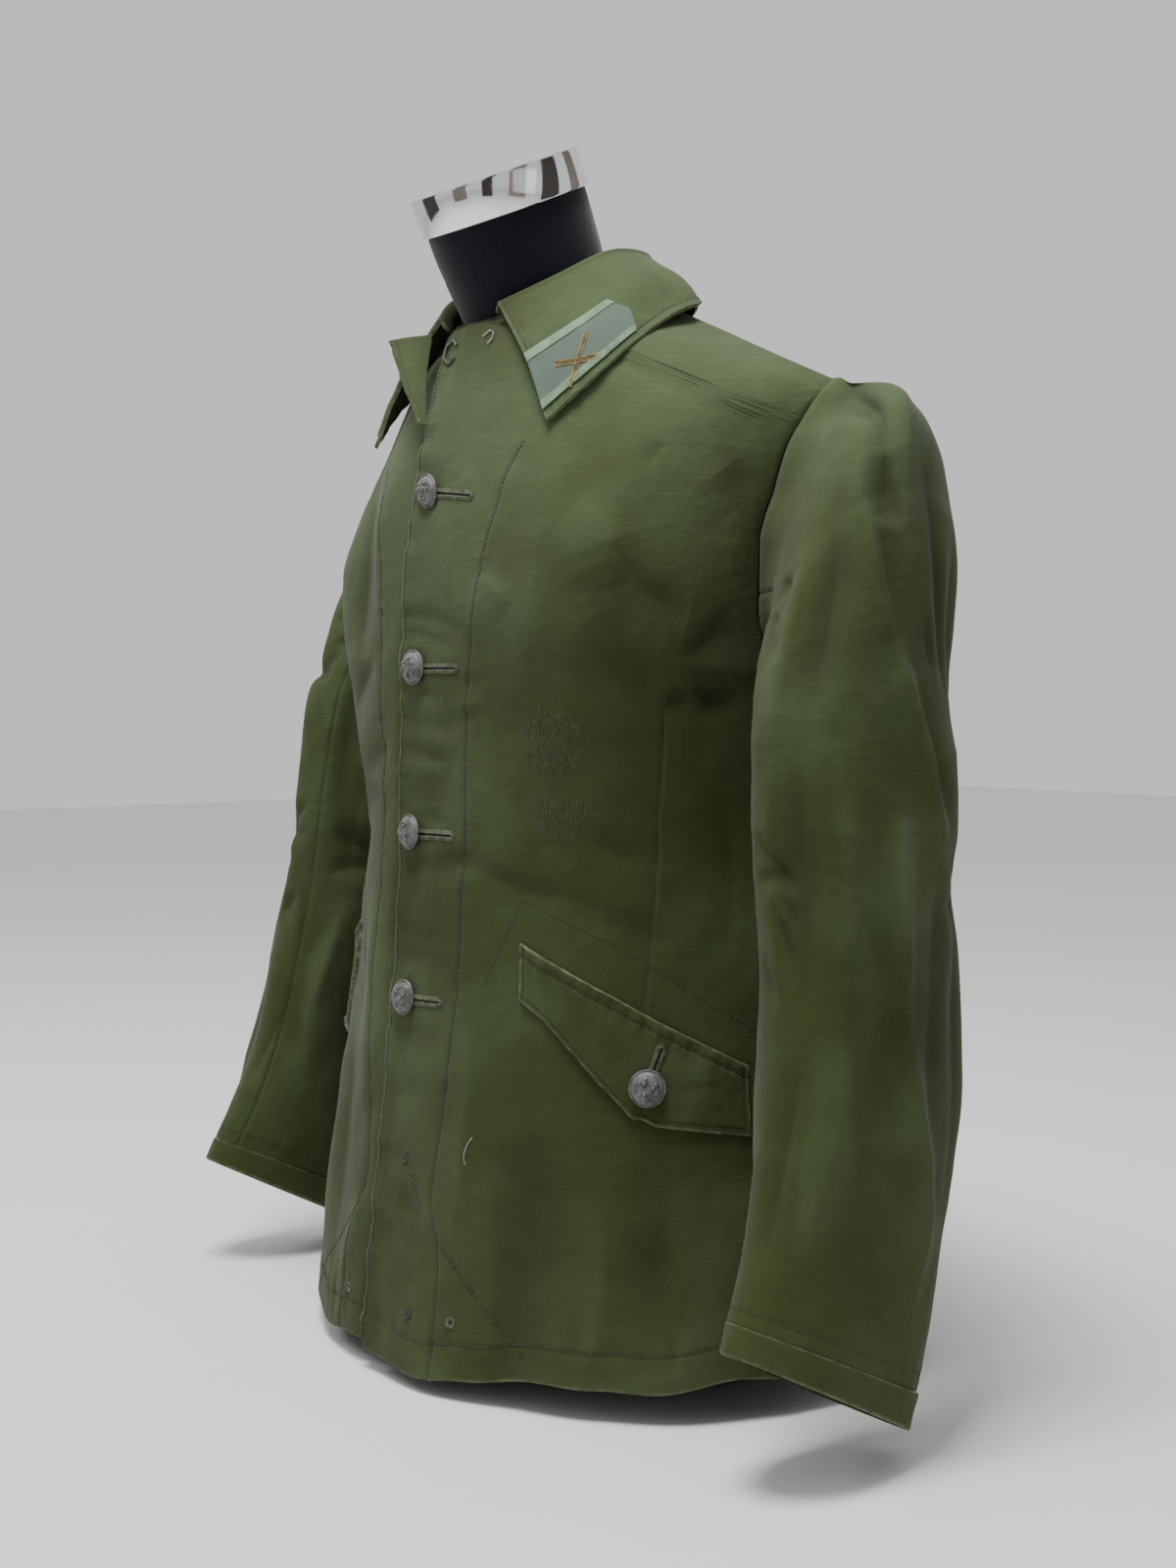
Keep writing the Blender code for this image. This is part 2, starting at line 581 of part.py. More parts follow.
def make_patch(word, side):
    t = within(COLLAR_STATIONS, *PATCH_SPAN)
    low, high = PATCH_DEPTH
    braid = (high - low) * BRAID_SHARE
    bands = {
        "braid_" + word + "_top": (low, low + braid - BRAID_SEAM, "braid"),
        "patch_" + word: (low + braid, high - braid, "patch_cloth"),
        "braid_" + word + "_bottom": (high - braid + BRAID_SEAM, high, "braid"),
    }
    for name, (start, end, finish) in bands.items():
        w = within(COLLAR_LINES, 0.5 + start * 0.5, 0.5 + end * 0.5)
        add_wall(name, [on_collar(side, t, w, PATCH_GAP)], finish, TRIM / 2)


def make_lapel():
    columns = rows_at(LAPEL, spread(7))
    fold = points(columns, "fold")
    edge = points(columns, "edge")
    across = spread(5)[None, :, None]
    grid = fold[:, None] * (1 - across) + edge[:, None] * across
    grid[..., 1] -= LAPEL_FULLNESS * np.sin(math.pi * across[..., 0])
    direction = np.zeros_like(grid)
    direction[..., 1] = 1.0
    add_wall("lapel_right", [(grid, direction)], "jacket_cloth", TRIM)


# ---------------------------------------------------------------- flaps and buttons
def height_share(height):
    """v of the row that starts at this height."""
    v = np.linspace(0, 1, 600)
    return np.interp(height, rows_at(FRONT, v)["start_z"], v)


def on_flap(share, depth, side, height):
    """A point on the front at a share of the flap's length and a depth below its upper edge."""
    t = FLAP_FRONT[0] + (FLAP_BACK[0] - FLAP_FRONT[0]) * share
    z = FLAP_FRONT[1] + (FLAP_BACK[1] - FLAP_FRONT[1]) * share - depth
    v = height_share(z)
    out = normals(front_row, t, v, side) * side
    return front_row(t, v, side) + out * height, out


def make_flap(word, side):
    share, down = np.meshgrid(spread(15), spread(7))
    depth = np.interp(share, FLAP_DEPTH["share"], FLAP_DEPTH["depth"]) * down
    grid, out = on_flap(share, depth, side, SEAM + CLOTH)
    add_wall("flap_" + word, [(grid, -out)], "jacket_cloth", CLOTH)


def make_button(name, place, out):
    """A domed button turned about its own axis, standing just off the cloth."""
    profile = [(0.0, 0.0), (BUTTON_RADIUS * 0.86, 0.0), (BUTTON_RADIUS, BUTTON_HEIGHT * 0.25)]
    for step in range(1, 6):
        angle = math.radians(90 * step / 5)
        profile.append((BUTTON_RADIUS * 0.97 * math.cos(angle),
                        BUTTON_HEIGHT * (0.33 + 0.67 * math.sin(angle))))
    turned = bmesh.new()
    line = [turned.verts.new((radius, 0.0, height)) for radius, height in profile]
    edges = [turned.edges.new(pair) for pair in zip(line, line[1:])]
    bmesh.ops.spin(turned, geom=line + edges, cent=(0, 0, 0), axis=(0, 0, 1),
                   angle=2 * math.pi, steps=20, use_duplicate=False)
    bmesh.ops.remove_doubles(turned, verts=turned.verts, dist=1e-5)
    bmesh.ops.recalc_face_normals(turned, faces=turned.faces)
    turn = Vector((0, 0, 1)).rotation_difference(Vector(out)).to_matrix().to_4x4()
    bmesh.ops.transform(turned, matrix=turn, verts=turned.verts)
    bmesh.ops.translate(turned, vec=Vector(place) + BUTTON_STANDOFF * Vector(out), verts=turned.verts)
    mesh = bpy.data.meshes.new(name)
    turned.to_mesh(mesh)
    turned.free()
    mesh.shade_smooth()
    mesh.materials.append(material("button_metal"))
    bpy.context.scene.collection.objects.link(bpy.data.objects.new(name, mesh))


def make_buttons():
    for number, height in enumerate(BUTTON_HEIGHTS, start=1):
        v = height_share(np.array([height]))
        t = np.array([0.0])
        make_button("button_%d" % number, front_row(t, v)[0], (0.0, -1.0, 0.0))
    for word, side in (("left", 1), ("right", -1)):
        share, depth = FLAP_BUTTON
        place, out = on_flap(np.array([share]), np.array([depth]), side, SEAM + CLOTH)
        make_button("button_flap_" + word, place[0], out[0])


# ---------------------------------------------------------------- dress form
def make_form():
    """Closed rings from the flat base to the shoulders, then the neck leaning forward."""
    z = np.concatenate([FORM["z"][:2], spread(9, 0.05, 0.56), spread(8, 0.59, 0.72)])
    turn = spread(33)[:-1] * 2 * math.pi
    rings = []
    for height in z:
        at = np.array([height])
        y, wide, deep = (smooth(FORM["z"], FORM[name], at)[0] for name in ("y", "wide", "deep"))
        rings.append([(wide * math.cos(a), y + deep * math.sin(a), height) for a in turn])
    for share in (0.5, 1.0):
        lean = NECK_TILT * (0.35 + 0.65 * share)
        y = FORM["y"][-1] + (NECK_TOP[1] - FORM["y"][-1]) * share
        height = FORM["z"][-1] + (NECK_TOP[2] - FORM["z"][-1]) * share
        rings.append([(NECK_RADIUS * math.cos(a), y + NECK_RADIUS * math.sin(a) * math.cos(lean),
                       height + NECK_RADIUS * math.sin(a) * math.sin(lean)) for a in turn])
    count = len(turn)
    faces = []
    for low in range(0, (len(rings) - 1) * count, count):
        for i in range(count):
            after = (i + 1) % count
            faces.append((low + i, low + after, low + count + after, low + count + i))
    faces.append(tuple(reversed(range(count))))
    faces.append(tuple((len(rings) - 1) * count + i for i in range(count)))
    add_object("dress_form", [p for line in rings for p in line], faces, "form_jersey")


def make_cap():
    """A bright round cap with eased edges on the neck's tilted top."""
    work = bmesh.new()
    bmesh.ops.create_cone(work, cap_ends=True, segments=48, radius1=CAP_RADIUS, radius2=CAP_RADIUS,
                          depth=CAP_HEIGHT)
    rims = [edge for edge in work.edges if abs(edge.verts[0].co.z - edge.verts[1].co.z) < 1e-6]
    bmesh.ops.bevel(work, geom=rims, offset=CAP_ROUNDING, segments=2, profile=0.5, affect="EDGES")
    tilt = Vector((0.0, -math.sin(NECK_TILT), math.cos(NECK_TILT)))
    turn = Vector((0, 0, 1)).rotation_difference(tilt).to_matrix().to_4x4()
    bmesh.ops.transform(work, matrix=turn, verts=work.verts)
    lift = CAP_HEIGHT / 2 + SEAM
    bmesh.ops.translate(work, vec=Vector(NECK_TOP) + tilt * lift, verts=work.verts)
    mesh = bpy.data.meshes.new("neck_cap")
    work.to_mesh(mesh)
    work.free()
    mesh.shade_smooth()
    mesh.set_sharp_from_angle(angle=math.radians(30))
    mesh.materials.append(material("cap_chrome"))
    bpy.context.scene.collection.objects.link(bpy.data.objects.new("neck_cap", mesh))


def main():
    for existing in list(bpy.data.objects):
        bpy.data.objects.remove(existing, do_unlink=True)
    make_form()
    make_cap()
    make_back()
    for word, side in (("left", 1), ("right", -1)):
        make_front("front_" + word, side)
        make_sleeve(word, side)
        make_cuff(word, side)
        make_flap(word, side)
        make_patch(word, side)
    make_collar()
    make_lapel()
    make_buttons()
    for made in bpy.data.objects:
        made.data.transform(Matrix.Translation((0.0, ORIGIN_Y, -FORM["z"][0])))


main()
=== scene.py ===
"""Looks of a worn green field jacket, buttoned on a limbless dress form.

Metres, +Z up. The front faces -Y and the jacket's own left side is +X. The panels are cut from the
same tables as the solids they stand for, in the maker's own coordinates: Y counts from the middle
of the shoulders and Z from a little under the form. MOVE takes them to the object's frame.
Tables of folds are in millimetres on the flat cloth.
"""

import math

import bmesh
import bpy
import numpy as np
from mathutils import Matrix, Vector
from mathutils.kdtree import KDTree


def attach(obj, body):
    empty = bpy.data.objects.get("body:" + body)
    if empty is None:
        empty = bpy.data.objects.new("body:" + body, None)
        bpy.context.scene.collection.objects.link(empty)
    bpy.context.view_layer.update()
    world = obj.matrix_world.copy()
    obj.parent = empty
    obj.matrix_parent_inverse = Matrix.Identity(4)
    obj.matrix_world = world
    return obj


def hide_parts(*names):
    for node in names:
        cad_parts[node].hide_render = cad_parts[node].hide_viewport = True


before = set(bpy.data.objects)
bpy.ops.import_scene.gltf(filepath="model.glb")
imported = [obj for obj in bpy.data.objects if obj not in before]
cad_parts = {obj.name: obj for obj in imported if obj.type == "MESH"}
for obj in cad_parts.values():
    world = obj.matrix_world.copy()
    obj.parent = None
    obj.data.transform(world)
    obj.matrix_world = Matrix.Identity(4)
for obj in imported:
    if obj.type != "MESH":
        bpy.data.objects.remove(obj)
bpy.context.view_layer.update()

# ---------------------------------------------------------------- driving dimensions
MM = 0.001
BASE = 0.022                          # height of the form's base in the tables
ORIGIN_Y = 0.0204
MOVE = np.array([0.0, ORIGIN_Y, -BASE])
CLOTH = 0.0020                        # wall of the body, sleeves and collar
COLLAR_CLOTH = 0.0018
TRIM = 0.0014                         # wall of the lapel and of the patches
SEAM = 0.0003
LAP = 0.018                           # how far each front reaches past the centre line
LAP_LIFT = 0.0019
LAP_FADE = 0.085
LAP_TOP = 0.74
STRAIGHT_ROW = 0.12
SMALL = 1e-4                          # step for slopes
COARSE = 4                            # the inner skin has one point for this many outer ones
EDGE_ROUND = 0.0010                   # a free edge of cloth is rounded over this width
BUTTON_RADIUS = 0.0113
BUTTON_HEIGHT = 0.0062
BUTTON_STANDOFF = 0.0016
BUTTON_HEIGHTS = (0.580, 0.467, 0.362, 0.257)
HOLE_ENDS = ((0.043, 0.574), (0.040, 0.466), (0.037, 0.361), (0.034, 0.257))
THREAD_LIFT = 0.00026                 # a row of stitches stands this far above its cloth
STITCH_IN = 0.0034                    # edge stitching lies this far in from a free edge
HEM_DEPTH = 0.022                     # depth of the turned hem
CUFF_STITCH = 0.968                   # share of the sleeve's length at its lowest stitching
SEAM_GAP = SEAM / 2 / 0.06            # half a seam as an angle, 0.06 m from a sleeve's middle
MOTIF_BARS = (((25, 100.0), (65, 112.0)), ((61, 95.5), (32, 115.0)))           # in millimetres
CAP_RADIUS = 0.0580
CAP_HEIGHT = 0.0260

# Dark cards round the jacket: direction in degrees, half width and shade.
FLAGS = (
    (-100, 0.60, 0.05), (-50, 0.42, 0.20), (-14, 0.30, 0.04),
    (24, 0.50, 0.24), (70, 0.60, 0.05), (115, 0.5, 0.2),
)


def table(columns, *rows):
    """A table with named columns: one array for each name, one value for each row."""
    names = columns.split()
    return {name: np.array([row[i] for row in rows], float) for i, name in enumerate(names)}


# Rows across half a front, from the hem up: start on the centre line, end on the side seam or the
# armhole, how full and how straight the row is, and where the left and the right front start.
FRONT = table(
    "start_x start_y start_z end_x  end_y  end_z  full straight left_start right_start",
    (0.000, -0.1890, 0.028, 0.2220, 0.0050, 0.042, 0.57, 0.0, -LAP, -LAP),     # hem
    (0.000, -0.1760, 0.130, 0.2100, 0.0050, 0.134, 0.60, 0.0, -LAP, -LAP),
    (0.000, -0.1640, 0.250, 0.1960, 0.0050, 0.251, 0.58, 0.0, -LAP, -LAP),
    (0.000, -0.1590, 0.350, 0.1860, 0.0050, 0.350, 0.54, 0.0, -LAP, -LAP),     # waist
    (0.000, -0.1570, 0.447, 0.1900, 0.0050, 0.447, 0.66, 0.0, -LAP, -LAP),     # armpit
    (0.000, -0.1540, 0.502, 0.1880, -0.0200, 0.466, 0.71, 0.0, -LAP, -LAP),
    (0.000, -0.1490, 0.552, 0.1855, -0.0310, 0.500, 0.73, 0.0, -LAP, -LAP),
    (0.000, -0.1410, 0.602, 0.1855, -0.0310, 0.540, 0.71, 0.1, -LAP, -0.010),
    (0.000, -0.1290, 0.650, 0.1915, -0.0245, 0.575, 0.62, 0.2, -LAP, 0.020),
    (0.000, -0.1150, 0.690, 0.1985, -0.0195, 0.602, 0.54, 0.3, -LAP, 0.044),   # neckline
    (0.030, -0.1070, 0.692, 0.2055, -0.0135, 0.618, 0.48, 0.5, 0.0, 0.022),
    (0.060, -0.0840, 0.698, 0.2110, -0.0065, 0.632, 0.40, 0.8, 0.0, 0.004),
    (0.080, -0.0280, 0.705, 0.2130, 0.0040, 0.642, 0.33, 1.0, 0.0, 0.000),     # shoulder seam
)
BACK = table(
    "start_x start_y start_z end_x  end_y  end_z  full straight",
    (0.000, 0.1500, 0.042, 0.2220, 0.0050, 0.042, 0.62, 0.0),                  # hem
    (0.000, 0.1390, 0.134, 0.2100, 0.0050, 0.134, 0.62, 0.0),
    (0.000, 0.1250, 0.251, 0.1960, 0.0050, 0.251, 0.60, 0.0),
    (0.000, 0.1220, 0.350, 0.1860, 0.0050, 0.350, 0.58, 0.0),                  # waist
    (0.000, 0.1320, 0.447, 0.1900, 0.0050, 0.447, 0.62, 0.0),                  # armpit
    (0.000, 0.1390, 0.530, 0.1905, 0.0400, 0.472, 0.62, 0.0),
    (0.000, 0.1330, 0.595, 0.1900, 0.0575, 0.512, 0.60, 0.0),
    (0.000, 0.1120, 0.648, 0.1920, 0.0570, 0.555, 0.56, 0.2),
    (0.000, 0.0750, 0.689, 0.1985, 0.0480, 0.594, 0.52, 0.4),
    (0.000, 0.0240, 0.710, 0.2070, 0.0330, 0.620, 0.46, 0.6),                  # neckline
    (0.044, 0.0100, 0.709, 0.2115, 0.0200, 0.634, 0.40, 0.8),
    (0.080, -0.0280, 0.705, 0.2130, 0.0040, 0.642, 0.33, 1.0),                 # shoulder seam
)
ARMPIT_ROW = 4
NECKLINE = 9 / 11                     # share of the back's rows at its neckline
NEAR_EDGE = 0.97

# Sleeve rings from the armhole down to the cuff: centre, tilt from upright (0) to level (90), half
# width outwards, half width from front to back, and how far the front is raised.
SLEEVE = table(
    "at    x       y       z      tilt  across  deep   raise",
    (0.00, 0.1990, 0.0120, 0.5450, 6, 0.0980, 0.0450, 0),                      # armhole
    (0.06, 0.2320, 0.0080, 0.5430, 25, 0.0910, 0.0540, 0),
    (0.12, 0.2420, 0.0000, 0.5240, 46, 0.0660, 0.0570, 0),
    (0.20, 0.2480, -0.0090, 0.4920, 70, 0.0540, 0.0610, 0),
    (0.30, 0.2540, -0.0180, 0.4460, 88, 0.0490, 0.0670, 2),                    # upper arm
    (0.45, 0.2620, -0.0240, 0.3700, 90, 0.0480, 0.0705, 4),
    (0.60, 0.2720, -0.0310, 0.2900, 90, 0.0450, 0.0680, 8),                    # elbow
    (0.75, 0.2820, -0.0430, 0.2070, 90, 0.0420, 0.0680, 14),
    (0.90, 0.2900, -0.0640, 0.1260, 90, 0.0380, 0.0690, 21),
    (1.00, 0.2950, -0.0850, 0.0770, 90, 0.0350, 0.0700, 26),                   # cuff
)
FRONT_SEAM = math.radians(116)
BACK_SEAM = math.radians(250)
HEAD_END = 0.16
CUFF_SHARE = 0.984
CUFF_BAND = (0.987, 1.02)
CUFF_PROUD = 0.0008
SLEEVE_ROUND = 0.058                  # mean radius, to measure round a sleeve
SLEEVE_LONG = 0.50                    # length, to measure down a sleeve

# The collar at five stations from its front end to the centre back.
COLLAR = table(
    "at   seam_x  seam_y   seam_z  roll_x  roll_y  roll_z  edge_x  edge_y  edge_z",
    (0.00, 0.0300, -0.1090, 0.6935, 0.0310, -0.1160, 0.6990, 0.0940, -0.1240, 0.6170),
    (0.30, 0.0610, -0.0820, 0.6990, 0.0610, -0.0860, 0.7180, 0.1150, -0.0920, 0.6520),
    (0.55, 0.0770, -0.0400, 0.7060, 0.0640, -0.0440, 0.7370, 0.1190, -0.0320, 0.6930),
    (0.78, 0.0520, 0.0040, 0.7110, 0.0450, -0.0050, 0.7410, 0.0740, 0.0130, 0.7040),
    (1.00, 0.0000, 0.0230, 0.7120, 0.0000, 0.0120, 0.7420, 0.0000, 0.0500, 0.7030),
)
MIRRORED = {"at": lambda value: 2 - value, "x": lambda value: -value}
WHOLE_COLLAR = {
    name: np.append(values, MIRRORED.get(name[-2:].strip("_"), float)(values[-2]))
    for name, values in COLLAR.items()
}
RIGHT_END_OUT = 0.017
RIGHT_END_BACK = 0.008
RIGHT_LEAF_FORWARD = 0.006
ROLL_RADIUS = 0.0032
ROLL_DROP = 0.0035
LEAF_FULLNESS = 0.006
ROLL_LINES = np.array([0.0, 0.30, 0.40, 0.50, 0.75, 1.0])
COLLAR_LONG = 0.235                   # half the collar's length, to measure along it
COLLAR_DEEP = 0.120                   # its stand and leaf together

LAPEL = table(
    "fold_x  fold_y   fold_z  edge_x  edge_y   edge_z",
    (-0.0440, -0.1170, 0.6900, -0.0740, -0.1330, 0.6880),
    (-0.0310, -0.1300, 0.6580, -0.0480, -0.1400, 0.6580),
    (-0.0170, -0.1400, 0.6250, -0.0200, -0.1440, 0.6260),
)
LAPEL_FULLNESS = 0.003

FLAP_FRONT = (0.312, 0.298)
FLAP_BACK = (0.820, 0.226)
FLAP_DEPTH = table(
    "share depth",
    (0.00, 0.034),
    (0.12, 0.038),
    (0.50, 0.066),                                                             # the point
    (0.58, 0.064),
    (1.00, 0.042),
)
FLAP_BUTTON = (0.56, 0.043)
PATCH_DEPTH = (0.44, 0.91)
BRAID_SHARE = 0.14

FORM = table(
    "z      y       wide    deep",
    (0.022, -0.0120, 0.1560, 0.1250),
    (0.034, -0.0120, 0.1640, 0.1320),
    (0.100, -0.0120, 0.1720, 0.1360),
    (0.280, -0.0120, 0.1550, 0.1180),                                          # waist
    (0.440, -0.0100, 0.1640, 0.1240),
    (0.520, -0.0060, 0.1620, 0.1180),
    (0.575, -0.0060, 0.1560, 0.0980),
    (0.615, -0.0090, 0.1400, 0.0740),
    (0.645, -0.0160, 0.1120, 0.0600),
    (0.665, -0.0300, 0.0760, 0.0550),
    (0.690, -0.0500, 0.0570, 0.0550),
    (0.720, -0.0690, 0.0550, 0.0550),
)
NECK_TILT = math.radians(23.5)
NECK_TOP = (0.0, -0.0880, 0.7670)
NECK_RADIUS = 0.0545


# ---------------------------------------------------------------- curves and surfaces
def smooth(knots, values, at):
    """A cubic curve through the values that never overshoots them."""
    step = np.diff(knots)
    rise = np.diff(values) / step
    slope = np.zeros(len(knots))
    slope[0] = rise[0]
    slope[-1] = rise[-1]
    for i in range(1, len(knots) - 1):
        if rise[i - 1] * rise[i] > 0:
            before = 2 * step[i] + step[i - 1]
            after = step[i] + 2 * step[i - 1]
            slope[i] = (before + after) / (before / rise[i - 1] + after / rise[i])
    i, step, t = stretch_of(knots, at)
    return hermite(t, step, values[i], values[i + 1], slope[i], slope[i + 1])


def stretch_of(knots, at):
    """The stretch between two knots that each place is in, its length, and the share along it."""
    i = np.clip(np.searchsorted(knots, at, side="right") - 1, 0, len(knots) - 2)
    step = knots[i + 1] - knots[i]
    return i, step, (at - knots[i]) / step


def hermite(t, step, low, high, leave, arrive):
    """The cubic from low to high that leaves and arrives with the given slopes."""
    return ((1 + 2 * t) * (1 - t) ** 2 * low + t * (1 - t) ** 2 * step * leave
            + t * t * (3 - 2 * t) * high + t * t * (t - 1) * step * arrive)


def rows_at(rows, v):
    """Every column of a table of rows, read smoothly at v from 0 (first row) to 1 (last row)."""
    count = len(next(iter(rows.values())))
    knots = np.arange(count, dtype=float)
    return {name: smooth(knots, values, v * (count - 1)) for name, values in rows.items()}


def points(columns, prefix):
    return np.stack([columns[prefix + axis] for axis in ("_x", "_y", "_z")], axis=-1)


def ease(x):
    x = np.clip(x, 0.0, 1.0)
    return x * x * (3 - 2 * x)


def half_row(columns, t):
    """A point at share t of each row; t below 0 goes past the centre line, mirrored."""
    start = points(columns, "start")
    end = points(columns, "end")
    full = columns["full"][..., None]
    straight = columns["straight"][..., None]
    third = (end - start) / 3
    leave = (1 - straight) * full * (end - start) * (1, 0, 0) + straight * third
    arrive = (1 - straight) * full * (end - start) * (0, 1, 0) + straight * third
    s = np.abs(t)[..., None]
    curve = ((1 - s) ** 3 * start + 3 * s * (1 - s) ** 2 * (start + leave)
             + 3 * s * s * (1 - s) * (end - arrive) + s ** 3 * end)
    curve[..., 0] = np.where(t < 0, -curve[..., 0], curve[..., 0])
    return curve


def share_per_metre(columns):
    """How much t grows for each metre along a row near its start."""
    speed = (1 - columns["straight"]) * columns["full"] * (columns["end_x"] - columns["start_x"]) * 3
    return 1.0 / (speed + columns["straight"] * STRAIGHT_ROW)


def front_row(t, v, side=1):
    """A front at share t of its half row, counted from the centre line; side -1 is the right."""
    columns = rows_at(FRONT, v)
    base = half_row(columns, t)
    distance = t / share_per_metre(columns)
    below_neck = 1 - ease((v - LAP_TOP) / (1 - LAP_TOP) * 3)
    lift = side * LAP_LIFT * (1 - ease(np.abs(distance) / LAP_FADE)) * below_neck
    base[..., 1] -= lift + SEAM * near_seam(t, v)
    base[..., 0] *= side
    return base


def near_seam(t, v):
    """1 beside the side seam, the armhole and the shoulder seam, 0 away from them."""
    return np.maximum(ease((t - 0.9) / 0.1), ease((v - 0.96) / 0.04))


def back(t, v):
    """The back at share t of its row, less than 0 on the right side."""
    base = half_row(rows_at(BACK, v), t)
    base[..., 1] += SEAM * near_seam(np.abs(t), v)
    return base


def armhole_line(rows):
    """The armhole of one panel from the shoulder down to the armpit, and the way out of it."""
    count = len(rows["start_x"])
    v = np.linspace(1.0, ARMPIT_ROW / (count - 1), 145)
    columns = rows_at(rows, v)
    edge = half_row(columns, np.ones_like(v))
    out = edge - half_row(columns, np.full_like(v, NEAR_EDGE))
    out /= np.linalg.norm(out, axis=1)[:, None]
    length = np.concatenate([[0], np.cumsum(np.linalg.norm(np.diff(edge, axis=0), axis=1))])
    return length / length[-1], edge, out


ARMHOLE = (armhole_line(FRONT), armhole_line(BACK))


def armhole(phi):
    """The armhole at angle phi: 0 is the shoulder, pi the armpit, the front first."""
    phi = np.mod(phi, 2 * math.pi)
    share = np.where(phi <= math.pi, phi, 2 * math.pi - phi) / math.pi
    found = []
    for length, edge, out in ARMHOLE:
        both = [np.stack([np.interp(share, length, line[:, k]) for k in range(3)], -1)
                for line in (edge, out)]
        found.append(both[0] + SEAM * both[1])
    return np.where((phi <= math.pi)[..., None], found[0], found[1])


def ring(s, phi):
    """A point on the sleeve's own ring at s down it and angle phi round it."""
    columns = {name: smooth(SLEEVE["at"], values, s) for name, values in SLEEVE.items()}
    tilt = np.radians(columns["tilt"])
    lift = np.radians(columns["raise"])
    zero = np.zeros_like(s)
    outwards = np.stack([np.sin(tilt), zero, np.cos(tilt)], -1) * columns["across"][..., None]
    forwards = np.stack([zero, -np.cos(lift), np.sin(lift)], -1) * columns["deep"][..., None]
    centre = np.stack([columns["x"], columns["y"], columns["z"]], -1)
    return centre + outwards * np.cos(phi)[..., None] + forwards * np.sin(phi)[..., None]


def sleeve(s, phi, side=1):
    start = np.zeros_like(s)
    pull = 1 - ease(s / HEAD_END)
    point = ring(s, phi) + pull[..., None] * (armhole(phi) - ring(start, phi))
    point[..., 0] *= side
    return point


def collar(t, w, side=1):
    """The collar at share t of its half length; w from 0 (neck seam) by 0.4 (roll) to 1 (edge)."""
    shape = t.shape
    t = t.ravel()
    w = np.broadcast_to(w, shape).ravel()
    columns = {name: smooth(WHOLE_COLLAR["at"], values, t) for name, values in WHOLE_COLLAR.items()}
    seam = points(columns, "seam")
    roll = points(columns, "roll")
    edge = points(columns, "edge")
    if side < 0:
        near_end = 1 - ease(t / 0.35)
        for line in (seam, roll):
            line[..., 0] += RIGHT_END_OUT * near_end
            line[..., 1] += RIGHT_END_BACK * near_end
        edge[..., 1] -= RIGHT_LEAF_FORWARD * near_end
    away = (edge - roll) * (1, 1, 0)
    away /= np.linalg.norm(away, axis=-1)[..., None] + 1e-9
    inner = roll - away * ROLL_RADIUS - (0, 0, ROLL_DROP)
    outer = roll + away * ROLL_RADIUS - (0, 0, ROLL_DROP)
    middle = (outer + edge) / 2 + away * LEAF_FULLNESS
    stops = np.stack([seam, inner, roll, outer, middle, edge])
    out = np.stack([collar_curve(stops[..., k], w) for k in range(3)], -1)
    out[..., 0] *= side
    return out.reshape(shape + (3,))


def collar_curve(values, at):
    """One curve through each column of values, each read at its own place."""
    slope = np.gradient(values, ROLL_LINES, axis=0)
    i, step, t = stretch_of(ROLL_LINES, at)
    n = np.arange(values.shape[1])
    return hermite(t, step, values[i, n], values[i + 1, n], slope[i, n], slope[i + 1, n])


def normals(surface, u, v, *more):
    """Unit normals of a surface function by small differences."""
    u0 = np.minimum(u, 1 - SMALL)
    v0 = np.minimum(v, 1 - SMALL)
    along = surface(u0 + SMALL, v0, *more) - surface(u0, v0, *more)
    up = surface(u0, v0 + SMALL, *more) - surface(u0, v0, *more)
    cross = np.cross(along, up)
    return cross / (np.linalg.norm(cross, axis=-1)[..., None] + 1e-12)


def height_share(height):
    """v of the row that starts at this height."""
    v = np.linspace(0, 1, 600)
    return np.interp(height, rows_at(FRONT, v)["start_z"], v)


# ---------------------------------------------------------------- fine sheets and their folds
def packed(count, *peaks):
    """Shares from 0 to 1, closer together near each peak (place, reach, how many times closer)."""
    fine = np.linspace(0, 1, 4001)
    density = np.ones_like(fine)
    for place, reach, times in peaks:
        density += times * np.exp(-np.abs(fine - place) / reach)
    total = np.concatenate([[0], np.cumsum((density[1:] + density[:-1]) / 2)])
    return np.interp(np.linspace(0, 1, count), total / total[-1], fine)


def arcs(grid, axis):
    """Length along the grid's rows (axis 1) or columns (axis 0) from their first point."""
    step = np.linalg.norm(np.diff(grid, axis=axis), axis=-1)
    zero = np.zeros_like(np.take(step, [0], axis=axis))
    return np.concatenate([zero, np.cumsum(step, axis=axis)], axis=axis)


def speckle(x, y, cell, seed):
    """Smooth random bumps from -1 to 1, about cell across, the same ones each time."""
    lattice = np.random.default_rng(seed).uniform(-1, 1, (97, 97))
    column = np.asarray(x, float) / cell + 31
    row = np.asarray(y, float) / cell + 31
    c0 = np.floor(column).astype(int)
    r0 = np.floor(row).astype(int)
    fc = ease(column - c0)
    fr = ease(row - r0)
    low = lattice[r0 % 97, c0 % 97] * (1 - fc) + lattice[r0 % 97, (c0 + 1) % 97] * fc
    high = lattice[(r0 + 1) % 97, c0 % 97] * (1 - fc) + lattice[(r0 + 1) % 97, (c0 + 1) % 97] * fc
    return low * (1 - fr) + high * fr


